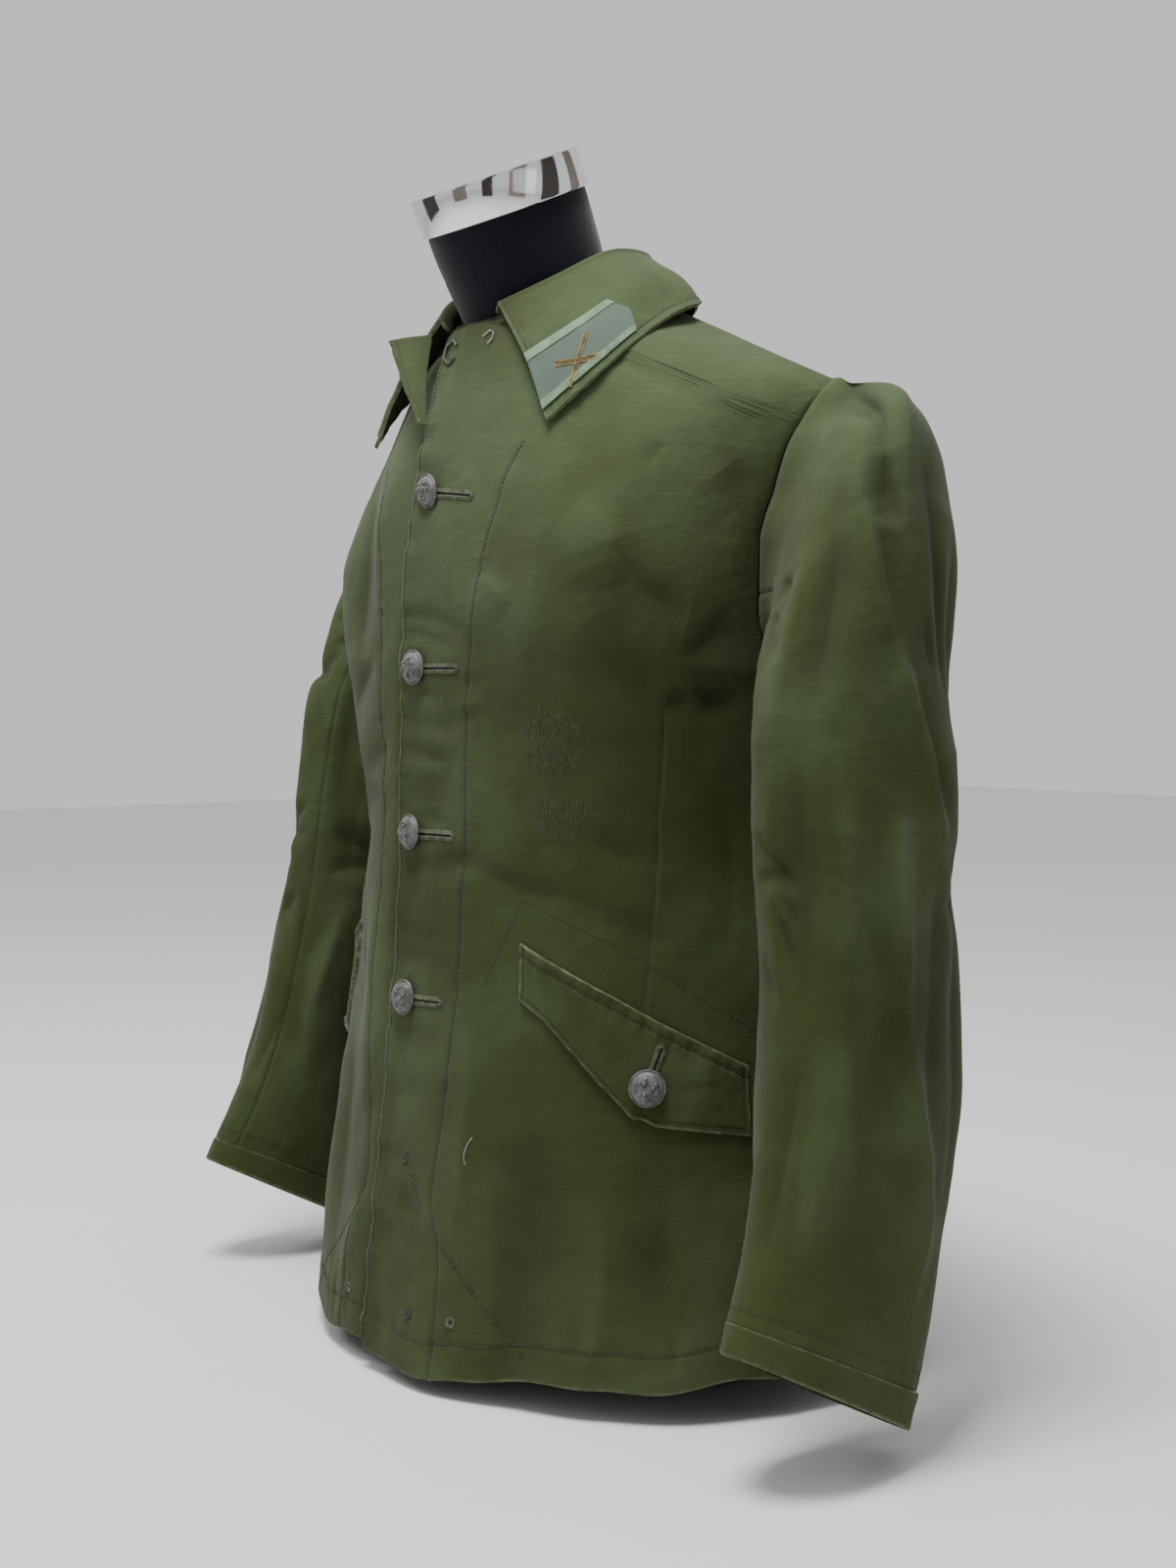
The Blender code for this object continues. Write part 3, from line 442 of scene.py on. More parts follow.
def near_path(plan, path):
    """Distance of each plan place from a path, its share along it, and its side of it."""
    best = np.full(plan.shape[:2], np.inf)
    along = np.zeros(plan.shape[:2])
    beside = np.zeros(plan.shape[:2])
    count = len(path) - 1
    for i, (a, b) in enumerate(zip(path, path[1:])):
        d = b - a
        length = d @ d + 1e-12
        share = np.clip(((plan - a) @ d) / length, 0, 1)
        gap = plan - a - share[..., None] * d
        far = np.hypot(gap[..., 0], gap[..., 1])
        closer = far < best
        best = np.where(closer, far, best)
        along = np.where(closer, (i + share) / count, along)
        cross = d[0] * (plan[..., 1] - a[1]) - d[1] * (plan[..., 0] - a[0])
        beside = np.where(closer, np.sign(cross), beside)
    return best, along, beside


def fold_relief(plan, folds):
    """Soft troughs (depth below 0) and ridges, each along a bowed line between two places."""
    total = np.zeros(plan.shape[:2])
    for row in zip(*folds.values()):
        x0, y0, x1, y1, bow, width, depth = (value * MM for value in row)
        start, end = np.array([x0, y0]), np.array([x1, y1])
        across = np.array([y0 - y1, x1 - x0]) / (np.hypot(x1 - x0, y1 - y0) + 1e-9)
        share = np.linspace(0, 1, 9)[:, None]
        path = start + (end - start) * share + across * bow * 4 * share * (1 - share)
        far, along, beside = near_path(plan, path)
        reach = np.where(beside > 0, width, width * 1.9)
        taper = np.sin(math.pi * np.clip(along, 0.02, 0.98)) ** 0.7
        total += depth * np.exp(-(far / reach) ** 1.4) * taper
    return total


FOLDS = "x0 y0 x1 y1 bow width depth"


class Sheet:
    """A fine sheet of cloth: a grid of points, their outward directions, their places on the flat
    cloth, and how far each lies from the sheet's nearest free edge."""

    def __init__(self, grid, out, plan, edge):
        self.grid = grid
        self.out = out
        self.plan = plan
        self.edge = edge
        self.relief = np.zeros(edge.shape)
        self.tree = None

    def raise_by(self, amount):
        self.relief = self.relief + amount
        self.grid = self.grid + self.out * amount[..., None]

    def round_edges(self):
        """Free edges curl in a little, so that they look folded and not cut."""
        share = np.clip(1 - self.edge / EDGE_ROUND, 0, 1)
        drop = EDGE_ROUND * (1 - np.sqrt(1 - share ** 2))
        self.grid = self.grid - self.out * drop[..., None]

    def settle(self):
        """Outward directions again, now that the folds are in."""
        along = np.gradient(self.grid, axis=1)
        up = np.gradient(self.grid, axis=0)
        cross = np.cross(along, up)
        cross /= np.linalg.norm(cross, axis=-1)[..., None] + 1e-12
        side = np.sign(np.sum(cross * self.out, axis=-1))[..., None]
        self.out = cross * np.where(side == 0, 1, side)

    def locate(self, places):
        """Fractional row and column of each place of the flat cloth."""
        rows, cols = self.edge.shape
        if self.tree is None:
            self.tree = KDTree(rows * cols)
            for index, (x, y) in enumerate(self.plan.reshape(-1, 2)):
                self.tree.insert((x, y, 0.0), index)
            self.tree.balance()
        found = []
        for x, y in places:
            index = self.tree.find((x, y, 0.0))[1]
            r = min(max(index // cols, 1), rows - 2)
            c = min(max(index % cols, 1), cols - 2)
            along = (self.plan[r, c + 1] - self.plan[r, c - 1]) / 2
            up = (self.plan[r + 1, c] - self.plan[r - 1, c]) / 2
            gap = np.array([x, y]) - self.plan[r, c]
            step = np.linalg.solve(np.stack([along, up], 1), gap)
            found.append((np.clip(r + step[1], 0, rows - 1.001), np.clip(c + step[0], 0, cols - 1.001)))
        return np.array(found)

    def read(self, values, where):
        r0 = where[:, 0].astype(int)
        c0 = where[:, 1].astype(int)
        fr = (where[:, 0] - r0)[:, None]
        fc = (where[:, 1] - c0)[:, None]
        low = values[r0, c0] * (1 - fc) + values[r0, c0 + 1] * fc
        high = values[r0 + 1, c0] * (1 - fc) + values[r0 + 1, c0 + 1] * fc
        return low * (1 - fr) + high * fr

    def at(self, places, height=0.0):
        """Points that lie height above the sheet at places on the flat cloth, in metres."""
        where = self.locate(np.asarray(places, float))
        out = self.read(self.out, where)
        out /= np.linalg.norm(out, axis=-1)[:, None]
        return self.read(self.grid, where) + out * height

    def out_at(self, places):
        out = self.read(self.out, self.locate(np.asarray(places, float)))
        return out / np.linalg.norm(out, axis=-1)[:, None]

    def beside(self, distance, height=0.0, axis=1, low=0.0, high=1.0):
        """A line on the sheet at a distance from its first column (axis 1) or row (axis 0)."""
        length = arcs(self.grid, axis)
        if axis == 0:
            length = length.T
        where = [np.interp(distance, line, np.arange(len(line))) for line in length]
        lines = np.arange(len(where), dtype=float)
        keep = slice(int(low * len(where)), int(high * len(where)))
        both = np.stack([lines, where], 1) if axis == 1 else np.stack([where, lines], 1)
        both = np.minimum(both[keep], np.array(self.edge.shape) - 1.001)
        out = self.read(self.out, both)
        return self.read(self.grid, both) + out * height


def bend_line(*places, step=0.004):
    """Places in millimetres joined by straight lines, filled in every step, in metres."""
    places = np.array(places, float) * MM
    out = [places[0]]
    for a, b in zip(places, places[1:]):
        count = max(1, int(np.hypot(*(b - a)) / step))
        out += [a + (b - a) * (k + 1) / count for k in range(count)]
    return np.array(out)


def waviness(sheet, size, cell, seed):
    """Very soft unevenness all over, as in cloth that has been worn."""
    x, y = sheet.plan[..., 0], sheet.plan[..., 1]
    return size * (0.7 * speckle(x, y, cell, seed) + 0.3 * speckle(x, y, cell * 0.37, seed + 1))


def pucker(distance, along, reach, pitch, depth, seed):
    """Short ripples across a seam, strongest on it, unevenly spaced along it."""
    bumps = speckle(along, 0 * along, pitch, seed) + 0.6 * speckle(along, 0 * along, pitch * 0.45, seed + 7)
    return depth * np.exp(-(np.abs(distance) / reach) ** 1.3) * bumps


def groove(distance, width, depth):
    return -depth * np.exp(-(distance / width) ** 2)


# ---------------------------------------------------------------- meshes
def shell_faces(rows, cols):
    """Faces of a closed thin shell: a fine outer skin, an inner one with fewer points, a rim."""
    outer = np.arange(rows * cols).reshape(rows, cols)
    keep_r = np.unique(np.append(np.arange(0, rows, COARSE), rows - 1))
    keep_c = np.unique(np.append(np.arange(0, cols, COARSE), cols - 1))
    inner = np.arange(len(keep_r) * len(keep_c)).reshape(len(keep_r), len(keep_c)) + rows * cols
    faces = [tuple(f) for f in np.stack([outer[:-1, :-1], outer[:-1, 1:], outer[1:, 1:], outer[1:, :-1]],
                                        -1).reshape(-1, 4).tolist()]
    faces += [tuple(f) for f in np.stack([inner[:-1, :-1], inner[1:, :-1], inner[1:, 1:], inner[:-1, 1:]],
                                         -1).reshape(-1, 4).tolist()]
    for j, (a, b) in enumerate(zip(keep_c, keep_c[1:])):
        faces.append(tuple(outer[0, a:b + 1][::-1].tolist() + [inner[0, j], inner[0, j + 1]]))
        faces.append(tuple(outer[-1, a:b + 1].tolist() + [inner[-1, j + 1], inner[-1, j]]))
    for i, (a, b) in enumerate(zip(keep_r, keep_r[1:])):
        faces.append(tuple(outer[a:b + 1, 0].tolist() + [inner[i + 1, 0], inner[i, 0]]))
        faces.append(tuple(outer[a:b + 1, -1][::-1].tolist() + [inner[i, -1], inner[i + 1, -1]]))
    return faces, (keep_r, keep_c)


def shell(name, sheet, thickness, finish, smooth_angle=50):
    """A sheet as a thin closed shell, with its flat places as UVs and what wear and the painted fold shade
    need to know.
    """
    rows, cols = sheet.edge.shape
    faces, (keep_r, keep_c) = shell_faces(rows, cols)
    pick = np.ix_(keep_r, keep_c)
    inner = sheet.grid[pick] - sheet.out[pick] * thickness
    vertices = np.concatenate([sheet.grid.reshape(-1, 3), inner.reshape(-1, 3)]) + MOVE
    along = sheet.grid[:, 1:] - sheet.grid[:, :-1]
    up = sheet.grid[1:] - sheet.grid[:-1]
    turn = np.sum(np.cross(along[:-1], up[:, :-1]) * sheet.out[:-1, :-1])
    if turn < 0:
        faces = [face[::-1] for face in faces]
    mesh = bpy.data.meshes.new(name)
    mesh.from_pydata(vertices.tolist(), [], faces)
    flat = np.concatenate([sheet.plan.reshape(-1, 2), sheet.plan[pick].reshape(-1, 2)])
    loops = np.zeros(len(mesh.loops), np.int32)
    mesh.loops.foreach_get("vertex_index", loops)
    mesh.uv_layers.new(name="flat_cloth").data.foreach_set("uv", flat[loops].astype(np.float32).ravel())
    facts = {"edge": sheet.edge, "relief": sheet.relief}
    for word, values in facts.items():
        whole = np.concatenate([values.ravel(), values[pick].ravel()])
        mesh.attributes.new(word, "FLOAT", "POINT").data.foreach_set("value", whole.astype(np.float32))
    mesh.shade_smooth()
    mesh.set_sharp_from_angle(angle=math.radians(smooth_angle))
    mesh.materials.append(finish)
    made = bpy.data.objects.new(name, mesh)
    bpy.context.scene.collection.objects.link(made)
    return made


def from_bmesh(name, work, finish, smooth_angle=40):
    """An object of a bmesh in the maker's coordinates, moved to the object's frame."""
    bmesh.ops.translate(work, vec=Vector(MOVE), verts=work.verts)
    mesh = bpy.data.meshes.new(name)
    work.to_mesh(mesh)
    work.free()
    mesh.shade_smooth()
    mesh.set_sharp_from_angle(angle=math.radians(smooth_angle))
    mesh.materials.append(finish)
    made = bpy.data.objects.new(name, mesh)
    bpy.context.scene.collection.objects.link(made)
    return made


def ride(made, slot_name, *nodes):
    """Every piece goes with the one body of this object, and the parts it stands for are hidden; slot_name
    is not used.
    """
    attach(made, "root")
    if nodes:
        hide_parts(*nodes)
    return made


# ---------------------------------------------------------------- stitches and threads
def new_tree(name, *inputs):
    """A geometry node tree with a geometry input, the named inputs, and a geometry output."""
    tree = bpy.data.node_groups.new(name, "GeometryNodeTree")
    tree.interface.new_socket("Paths", in_out="INPUT", socket_type="NodeSocketGeometry")
    for word, kind, value in inputs:
        socket = tree.interface.new_socket(word, in_out="INPUT", socket_type=kind)
        if value is not None:
            socket.default_value = value
    tree.interface.new_socket("Threads", in_out="OUTPUT", socket_type="NodeSocketGeometry")
    return tree


def chain(tree, *kinds):
    return [tree.nodes.new(kind) for kind in kinds]


def stitch_tree():
    """Small rounded stitches, end to end along every path, each half sunk in the cloth."""
    tree = new_tree(
        "stitch_row",
        ("Pitch", "NodeSocketFloat", 0.0028),
        ("Length", "NodeSocketFloat", 0.0021),
        ("Radius", "NodeSocketFloat", 0.0003),
        ("Finish", "NodeSocketMaterial", None),
    )
    start, end, line, along, turn, bead, size, place, real, paint = chain(
        tree, "NodeGroupInput", "NodeGroupOutput", "GeometryNodeMeshToCurve", "GeometryNodeCurveToPoints",
        "FunctionNodeAlignRotationToVector", "GeometryNodeMeshUVSphere", "ShaderNodeCombineXYZ",
        "GeometryNodeInstanceOnPoints", "GeometryNodeRealizeInstances", "GeometryNodeSetMaterial")
    half = tree.nodes.new("ShaderNodeMath")
    half.operation = "MULTIPLY"
    half.inputs[1].default_value = 0.5
    along.mode = "LENGTH"
    turn.axis = "Z"
    bead.inputs["Segments"].default_value = 6
    bead.inputs["Rings"].default_value = 4
    bead.inputs["Radius"].default_value = 1.0
    link = tree.links.new
    link(start.outputs["Paths"], line.inputs["Mesh"])
    link(line.outputs["Curve"], along.inputs["Curve"])
    link(start.outputs["Pitch"], along.inputs["Length"])
    link(along.outputs["Tangent"], turn.inputs["Vector"])
    link(start.outputs["Radius"], size.inputs["X"])
    link(start.outputs["Radius"], size.inputs["Y"])
    link(start.outputs["Length"], half.inputs[0])
    link(half.outputs["Value"], size.inputs["Z"])
    link(along.outputs["Points"], place.inputs["Points"])
    link(bead.outputs["Mesh"], place.inputs["Instance"])
    link(turn.outputs["Rotation"], place.inputs["Rotation"])
    link(size.outputs["Vector"], place.inputs["Scale"])
    link(place.outputs["Instances"], real.inputs["Geometry"])
    link(real.outputs["Geometry"], paint.inputs["Geometry"])
    link(start.outputs["Finish"], paint.inputs["Material"])
    link(paint.outputs["Geometry"], end.inputs["Threads"])
    return tree


def thread_tree():
    """A round thread along every path, closed at its ends."""
    tree = new_tree(
        "thread_run",
        ("Radius", "NodeSocketFloat", 0.0003),
        ("Finish", "NodeSocketMaterial", None),
    )
    start, end, line, profile, tube, real, paint = chain(
        tree, "NodeGroupInput", "NodeGroupOutput", "GeometryNodeMeshToCurve",
        "GeometryNodeCurvePrimitiveCircle", "GeometryNodeCurveToMesh",
        "GeometryNodeRealizeInstances", "GeometryNodeSetMaterial")
    profile.inputs["Resolution"].default_value = 5
    tube.inputs["Fill Caps"].default_value = True
    link = tree.links.new
    link(start.outputs["Paths"], line.inputs["Mesh"])
    link(line.outputs["Curve"], tube.inputs["Curve"])
    link(start.outputs["Radius"], profile.inputs["Radius"])
    link(profile.outputs["Curve"], tube.inputs["Profile Curve"])
    link(tube.outputs["Mesh"], real.inputs["Geometry"])
    link(real.outputs["Geometry"], paint.inputs["Geometry"])
    link(start.outputs["Finish"], paint.inputs["Material"])
    link(paint.outputs["Geometry"], end.inputs["Threads"])
    return tree


STITCH_TREE = stitch_tree()
THREAD_TREE = thread_tree()


def grown(name, tree, paths, finish, **sizes):
    """The plain mesh that a tree grows along paths, which are in the maker's coordinates."""
    vertices, edges = [], []
    for path in paths:
        edges += [(len(vertices) + k, len(vertices) + k + 1) for k in range(len(path) - 1)]
        vertices += (np.asarray(path) + MOVE).tolist()
    mesh = bpy.data.meshes.new(name + "_paths")
    mesh.from_pydata(vertices, edges, [])
    guide = bpy.data.objects.new(name + "_paths", mesh)
    bpy.context.scene.collection.objects.link(guide)
    grow = guide.modifiers.new("grow", "NODES")
    grow.node_group = tree
    sizes["Finish"] = finish
    given = {word.lower(): value for word, value in sizes.items()}
    for item in tree.interface.items_tree:
        if item.in_out == "INPUT" and item.name.lower() in given:
            grow[item.identifier] = given[item.name.lower()]
    bpy.context.view_layer.update()
    evaluated = guide.evaluated_get(bpy.context.evaluated_depsgraph_get())
    grown_mesh = bpy.data.meshes.new_from_object(evaluated)
    grown_mesh.name = name
    guide.modifiers.remove(grow)
    bpy.data.objects.remove(guide)
    bpy.data.meshes.remove(mesh)
    if not grown_mesh.materials:
        grown_mesh.materials.append(finish)
    grown_mesh.shade_smooth()
    made = bpy.data.objects.new(name, grown_mesh)
    bpy.context.scene.collection.objects.link(made)
    return made


def stitches(name, paths, finish, pitch=0.0028, length=0.0021, radius=0.00032):
    made = grown(name, STITCH_TREE, paths, finish, pitch=pitch, length=length, radius=radius)
    return ride(made, "jacket_cloth")


def threads(name, paths, finish, radius=0.0003, slot_name="jacket_cloth"):
    return ride(grown(name, THREAD_TREE, paths, finish, radius=radius), slot_name)


# ---------------------------------------------------------------- finishes
def add(tree, kind, settings=None, **inputs):
    """A node with its settings, and its inputs set to values or linked to sockets."""
    node = tree.nodes.new(kind)
    for word, value in (settings or {}).items():
        setattr(node, word, value)
    for word, value in inputs.items():
        put(tree, node.inputs[word.replace("_", " ")], value)
    return node


def put(tree, socket, value):
    if isinstance(value, bpy.types.NodeSocket):
        tree.links.new(value, socket)
    else:
        socket.default_value = value


def sums(tree, operation, a, b=0.0, clamp=False):
    node = add(tree, "ShaderNodeMath", {"operation": operation, "use_clamp": clamp})
    put(tree, node.inputs[0], a)
    put(tree, node.inputs[1], b)
    return node.outputs[0]


def spanned(tree, value, low, high, to_low=0.0, to_high=1.0):
    """The value taken from one range to another, softly, and kept inside it."""
    node = add(tree, "ShaderNodeMapRange", {"interpolation_type": "SMOOTHSTEP"}, Value=value, From_Min=low,
               From_Max=high, To_Min=to_low, To_Max=to_high)
    return node.outputs["Result"]


def blended(tree, share, a, b, way="MIX"):
    node = tree.nodes.new("ShaderNodeMix")
    node.data_type = "RGBA"
    node.blend_type = way
    for index, value in ((0, share), (6, a), (7, b)):
        put(tree, node.inputs[index], value)
    return node.outputs[2]


def noise(tree, vector, scale, detail=2.0, rough=0.5, stretch=None):
    if stretch:
        vector = add(tree, "ShaderNodeVectorMath", {"operation": "MULTIPLY"}).outputs[0]
        multiply = vector.node
        tree.links.new(stretch[0], multiply.inputs[0])
        multiply.inputs[1].default_value = stretch[1]
    return add(tree, "ShaderNodeTexNoise", None, Vector=vector, Scale=scale, Detail=detail,
               Roughness=rough).outputs["Fac"]


def new_group(name, inputs, outputs):
    """A shader node group with named inputs and outputs; returns it with both ends."""
    tree = bpy.data.node_groups.new(name, "ShaderNodeTree")
    for word, kind, value in inputs:
        socket = tree.interface.new_socket(word, in_out="INPUT", socket_type=kind)
        if value is not None:
            socket.default_value = value
    for word, kind in outputs:
        tree.interface.new_socket(word, in_out="OUTPUT", socket_type=kind)
    return tree, tree.nodes.new("NodeGroupInput").outputs, tree.nodes.new("NodeGroupOutput").inputs


def weave_group():
    """Height of a plain weave with uneven yarns: thick wefts across, finer warps up."""
    tree, given, made = new_group(
        "uneven_weave",
        [("Flat", "NodeSocketVector", None), ("Yarns", "NodeSocketFloat", 900.0)],
        [("Height", "NodeSocketFloat"), ("Streak", "NodeSocketFloat")])
    scaled = add(tree, "ShaderNodeVectorMath", {"operation": "SCALE"})
    put(tree, scaled.inputs[0], given["Flat"])
    put(tree, scaled.inputs["Scale"], given["Yarns"])
    weft = noise(tree, None, 1.0, 2.0, 0.6, (scaled.outputs[0], (0.06, 1.0, 1.0)))
    warp = noise(tree, None, 1.0, 1.0, 0.5, (scaled.outputs[0], (1.0, 0.05, 1.0)))
    slub = noise(tree, None, 1.0, 2.0, 0.6, (scaled.outputs[0], (0.025, 0.45, 1.0)))
    both = sums(tree, "MULTIPLY_ADD", warp, 0.5)
    tree.links.new(weft, both.node.inputs[2])
    tree.links.new(both, made["Height"])
    tree.links.new(slub, made["Streak"])
    return tree


def wear_fade_and_shade_group():
    """Blotches of faded and of stained cloth over the base colour, with painted shade and some dirt
    darkening the folds, and worn pale on ridges and along edges."""
    colour = "NodeSocketColor"
    tree, given, made = new_group(
        "worn_faded_and_fold_shade",
        [("Point", "NodeSocketVector", None), ("Base", colour, None), ("Faded", colour, None),
         ("Stained", colour, None), ("Worn", colour, None), ("Edge", "NodeSocketFloat", 0.1),
         ("Relief", "NodeSocketFloat", 0.0), ("Streak", "NodeSocketFloat", 0.5),
         ("Edge width", "NodeSocketFloat", 0.0022)],
        [("Color", colour), ("Wear", "NodeSocketFloat")])
    point = given["Point"]
    cloud = noise(tree, point, 9.0, 4.0, 0.62)
    stain = noise(tree, point, 5.3, 3.0, 0.55)
    rub = noise(tree, point, 140.0, 3.0, 0.65)
    # Paler towards the top by height alone, added to the faded blotches.
    high = add(tree, "ShaderNodeSeparateXYZ", None, Vector=point).outputs["Z"]
    top = spanned(tree, high, 0.36, 0.68, 0.0, 0.75)
    share = sums(tree, "ADD", top, spanned(tree, cloud, 0.42, 0.68, 0.0, 0.42), True)
    faded = blended(tree, share, given["Base"], given["Faded"])
    stained = blended(tree, spanned(tree, stain, 0.47, 0.66, 0.0, 0.60), faded, given["Stained"])
    streak = spanned(tree, given["Streak"], 0.30, 0.70, 0.955, 1.045)
    grey = add(tree, "ShaderNodeCombineColor", None, Red=streak, Green=streak, Blue=streak).outputs[0]
    streaked = blended(tree, 1.0, stained, grey, "MULTIPLY")
    # Painted shade, with some dirt, in the folds: the deeper a trough, the nearer its colour goes to near
    # black.
    fold_shade_and_dirt = spanned(tree, given["Relief"], 0.0, -0.0045, 0.0, 0.35)
    deep = blended(tree, fold_shade_and_dirt, streaked, (0.016, 0.020, 0.008, 1.0))
    ridge = spanned(tree, given["Relief"], 0.0006, 0.0035, 0.0, 0.35)
    raised = blended(tree, ridge, deep, given["Faded"])
    near = sums(tree, "DIVIDE", given["Edge"], given["Edge width"])
    rim = sums(tree, "SUBTRACT", 1.0, near, True)
    patchy = spanned(tree, rub, 0.36, 0.62, 0.25, 1.0)
    wear = sums(tree, "MULTIPLY", rim, patchy, True)
    tree.links.new(blended(tree, wear, raised, given["Worn"]), made["Color"])
    tree.links.new(wear, made["Wear"])
    return tree


WEAVE = weave_group()
WEAR_FADE_AND_SHADE = wear_fade_and_shade_group()


def finish_of(name, **values):
    """A material with a Principled BSDF whose own sockets are set from the values."""
    made = bpy.data.materials.new(name)
    made.use_nodes = True
    tree = made.node_tree
    shader = tree.nodes["Principled BSDF"]
    for word, value in values.items():
        shader.inputs[word.replace("_", " ")].default_value = value
    return made, tree, shader


def bumped(tree, shader, height, distance, strength=1.0, before=None):
    bump = add(tree, "ShaderNodeBump", None, Height=height, Distance=distance, Strength=strength)
    if before:
        tree.links.new(before, bump.inputs["Normal"])
    tree.links.new(bump.outputs[0], shader.inputs["Normal"])
    return bump.outputs[0]


def cloth_finish(name, base, faded, stained, worn, yarns=900.0, edge_width=0.0022, crumple=1.0):
    made, tree, shader = finish_of(name, Sheen_Weight=0.06, Sheen_Roughness=0.5, Specular_IOR_Level=0.18)
    flat = add(tree, "ShaderNodeUVMap", {"uv_map": "flat_cloth"}).outputs[0]
    point = add(tree, "ShaderNodeTexCoord").outputs["Object"]
    weave = add(tree, "ShaderNodeGroup", {"node_tree": WEAVE}, Flat=flat, Yarns=yarns).outputs
    edge = add(tree, "ShaderNodeAttribute", {"attribute_name": "edge"}).outputs["Fac"]
    relief = add(tree, "ShaderNodeAttribute", {"attribute_name": "relief"}).outputs["Fac"]
    colour = add(tree, "ShaderNodeGroup", {"node_tree": WEAR_FADE_AND_SHADE}, Point=point, Base=base, Faded=faded,
                 Stained=stained, Worn=worn, Edge=edge, Relief=relief, Streak=weave["Streak"],
                 Edge_width=edge_width).outputs
    tree.links.new(colour["Color"], shader.inputs["Base Color"])
    rough = spanned(tree, colour["Wear"], 0.0, 1.0, 0.93, 0.78)
    tree.links.new(rough, shader.inputs["Roughness"])
    soft = noise(tree, point, 38.0, 3.0, 0.55)
    creased = bumped(tree, shader, soft, 0.0016 * crumple)
    fine = noise(tree, point, 210.0, 2.0, 0.6)
    again = bumped(tree, shader, fine, 0.00035 * crumple, 1.0, creased)
    bumped(tree, shader, weave["Height"], 0.00022, 0.8, again)
    return made


def thread_finish(name, colour, lighter):
    """Sewing thread: shade changes from stitch to stitch, with a fine twist."""
    made, tree, shader = finish_of(name, Sheen_Weight=0.2, Specular_IOR_Level=0.3, Roughness=0.7)
    point = add(tree, "ShaderNodeTexCoord").outputs["Object"]
    shade = spanned(tree, noise(tree, point, 260.0, 2.0), 0.35, 0.65)
    tree.links.new(blended(tree, shade, colour, lighter), shader.inputs["Base Color"])
    twist = add(tree, "ShaderNodeTexWave", {"bands_direction": "DIAGONAL"}, Vector=point, Scale=900.0,
                Distortion=1.0).outputs["Fac"]
    bumped(tree, shader, twist, 0.0001)
    return made


def button_finish():
    """Grey paint on metal, rubbed bright on the high parts and dull in between."""
    made, tree, shader = finish_of("painted_button", Specular_IOR_Level=0.5)
    point = add(tree, "ShaderNodeTexCoord").outputs["Object"]
    rub = spanned(tree, noise(tree, point, 420.0, 4.0, 0.65), 0.40, 0.66)
    dirt = spanned(tree, noise(tree, point, 170.0, 3.0, 0.6), 0.42, 0.62)
    worn = blended(tree, rub, (0.105, 0.103, 0.102, 1), (0.170, 0.166, 0.162, 1))
    tree.links.new(blended(tree, dirt, worn, (0.062, 0.061, 0.056, 1)), shader.inputs["Base Color"])
    tree.links.new(spanned(tree, rub, 0, 1, 0.62, 0.42), shader.inputs["Roughness"])
    tree.links.new(spanned(tree, rub, 0, 1, 0.0, 0.20), shader.inputs["Metallic"])
    bumped(tree, shader, noise(tree, point, 900.0, 3.0), 0.00015)
    return made


def jersey_finish():
    """Black stretched jersey: fine upright ribs and a little lint."""
    made, tree, shader = finish_of("black_jersey", Sheen_Weight=0.25, Sheen_Roughness=0.4,
                                   Specular_IOR_Level=0.2, Roughness=0.9)
    point = add(tree, "ShaderNodeTexCoord").outputs["Object"]
    lint = spanned(tree, noise(tree, point, 320.0, 3.0, 0.7), 0.60, 0.78, 0.0, 0.5)
    tree.links.new(blended(tree, lint, (0.0050, 0.0066, 0.0110, 1), (0.020, 0.026, 0.038, 1)),
                   shader.inputs["Base Color"])
    ribs = noise(tree, None, 1.0, 1.0, 0.5, (point, (1100.0, 1100.0, 260.0)))
    bumped(tree, shader, ribs, 0.00025)
    return made


def chrome_finish():
    """Polished metal with faint smears and a few fine scratches."""
    made, tree, shader = finish_of("polished_chrome", Metallic=1.0)
    point = add(tree, "ShaderNodeTexCoord").outputs["Object"]
    smear = spanned(tree, noise(tree, point, 30.0, 4.0, 0.6), 0.40, 0.70)
    tree.links.new(blended(tree, smear, (0.82, 0.82, 0.82, 1), (0.70, 0.69, 0.68, 1)),
                   shader.inputs["Base Color"])
    tree.links.new(spanned(tree, smear, 0, 1, 0.035, 0.12), shader.inputs["Roughness"])
    scratch = noise(tree, None, 1.0, 2.0, 0.5, (point, (60.0, 60.0, 1800.0)))
    bumped(tree, shader, scratch, 0.00001)
    return made


def braid_finish():
    """Pale woven tape with fine ribs across it and a little soiling."""
    made, tree, shader = finish_of("pale_braid", Sheen_Weight=0.2, Roughness=0.8, Specular_IOR_Level=0.25)
    flat = add(tree, "ShaderNodeUVMap", {"uv_map": "flat_cloth"}).outputs[0]
    point = add(tree, "ShaderNodeTexCoord").outputs["Object"]
    ribs = add(tree, "ShaderNodeTexWave", {"bands_direction": "X"}, Vector=flat, Scale=330.0,
               Distortion=0.6, Detail=1.0).outputs["Fac"]
    soil = spanned(tree, noise(tree, point, 90.0, 4.0, 0.6), 0.38, 0.68, 0.0, 0.8)
    clean = blended(tree, spanned(tree, ribs, 0.2, 0.8), (0.165, 0.290, 0.165, 1), (0.255, 0.405, 0.245, 1))
    tree.links.new(blended(tree, soil, clean, (0.130, 0.190, 0.110, 1)), shader.inputs["Base Color"])
    bumped(tree, shader, ribs, 0.0003)
    return made


def floor_finish():
    made, tree, shader = finish_of("pale_floor", Roughness=0.85, Specular_IOR_Level=0.1)
    point = add(tree, "ShaderNodeTexCoord").outputs["Object"]
    shade = blended(tree, noise(tree, point, 2.0, 3.0), (0.80, 0.80, 0.79, 1), (0.84, 0.84, 0.83, 1))
    tree.links.new(shade, shader.inputs["Base Color"])
    return made


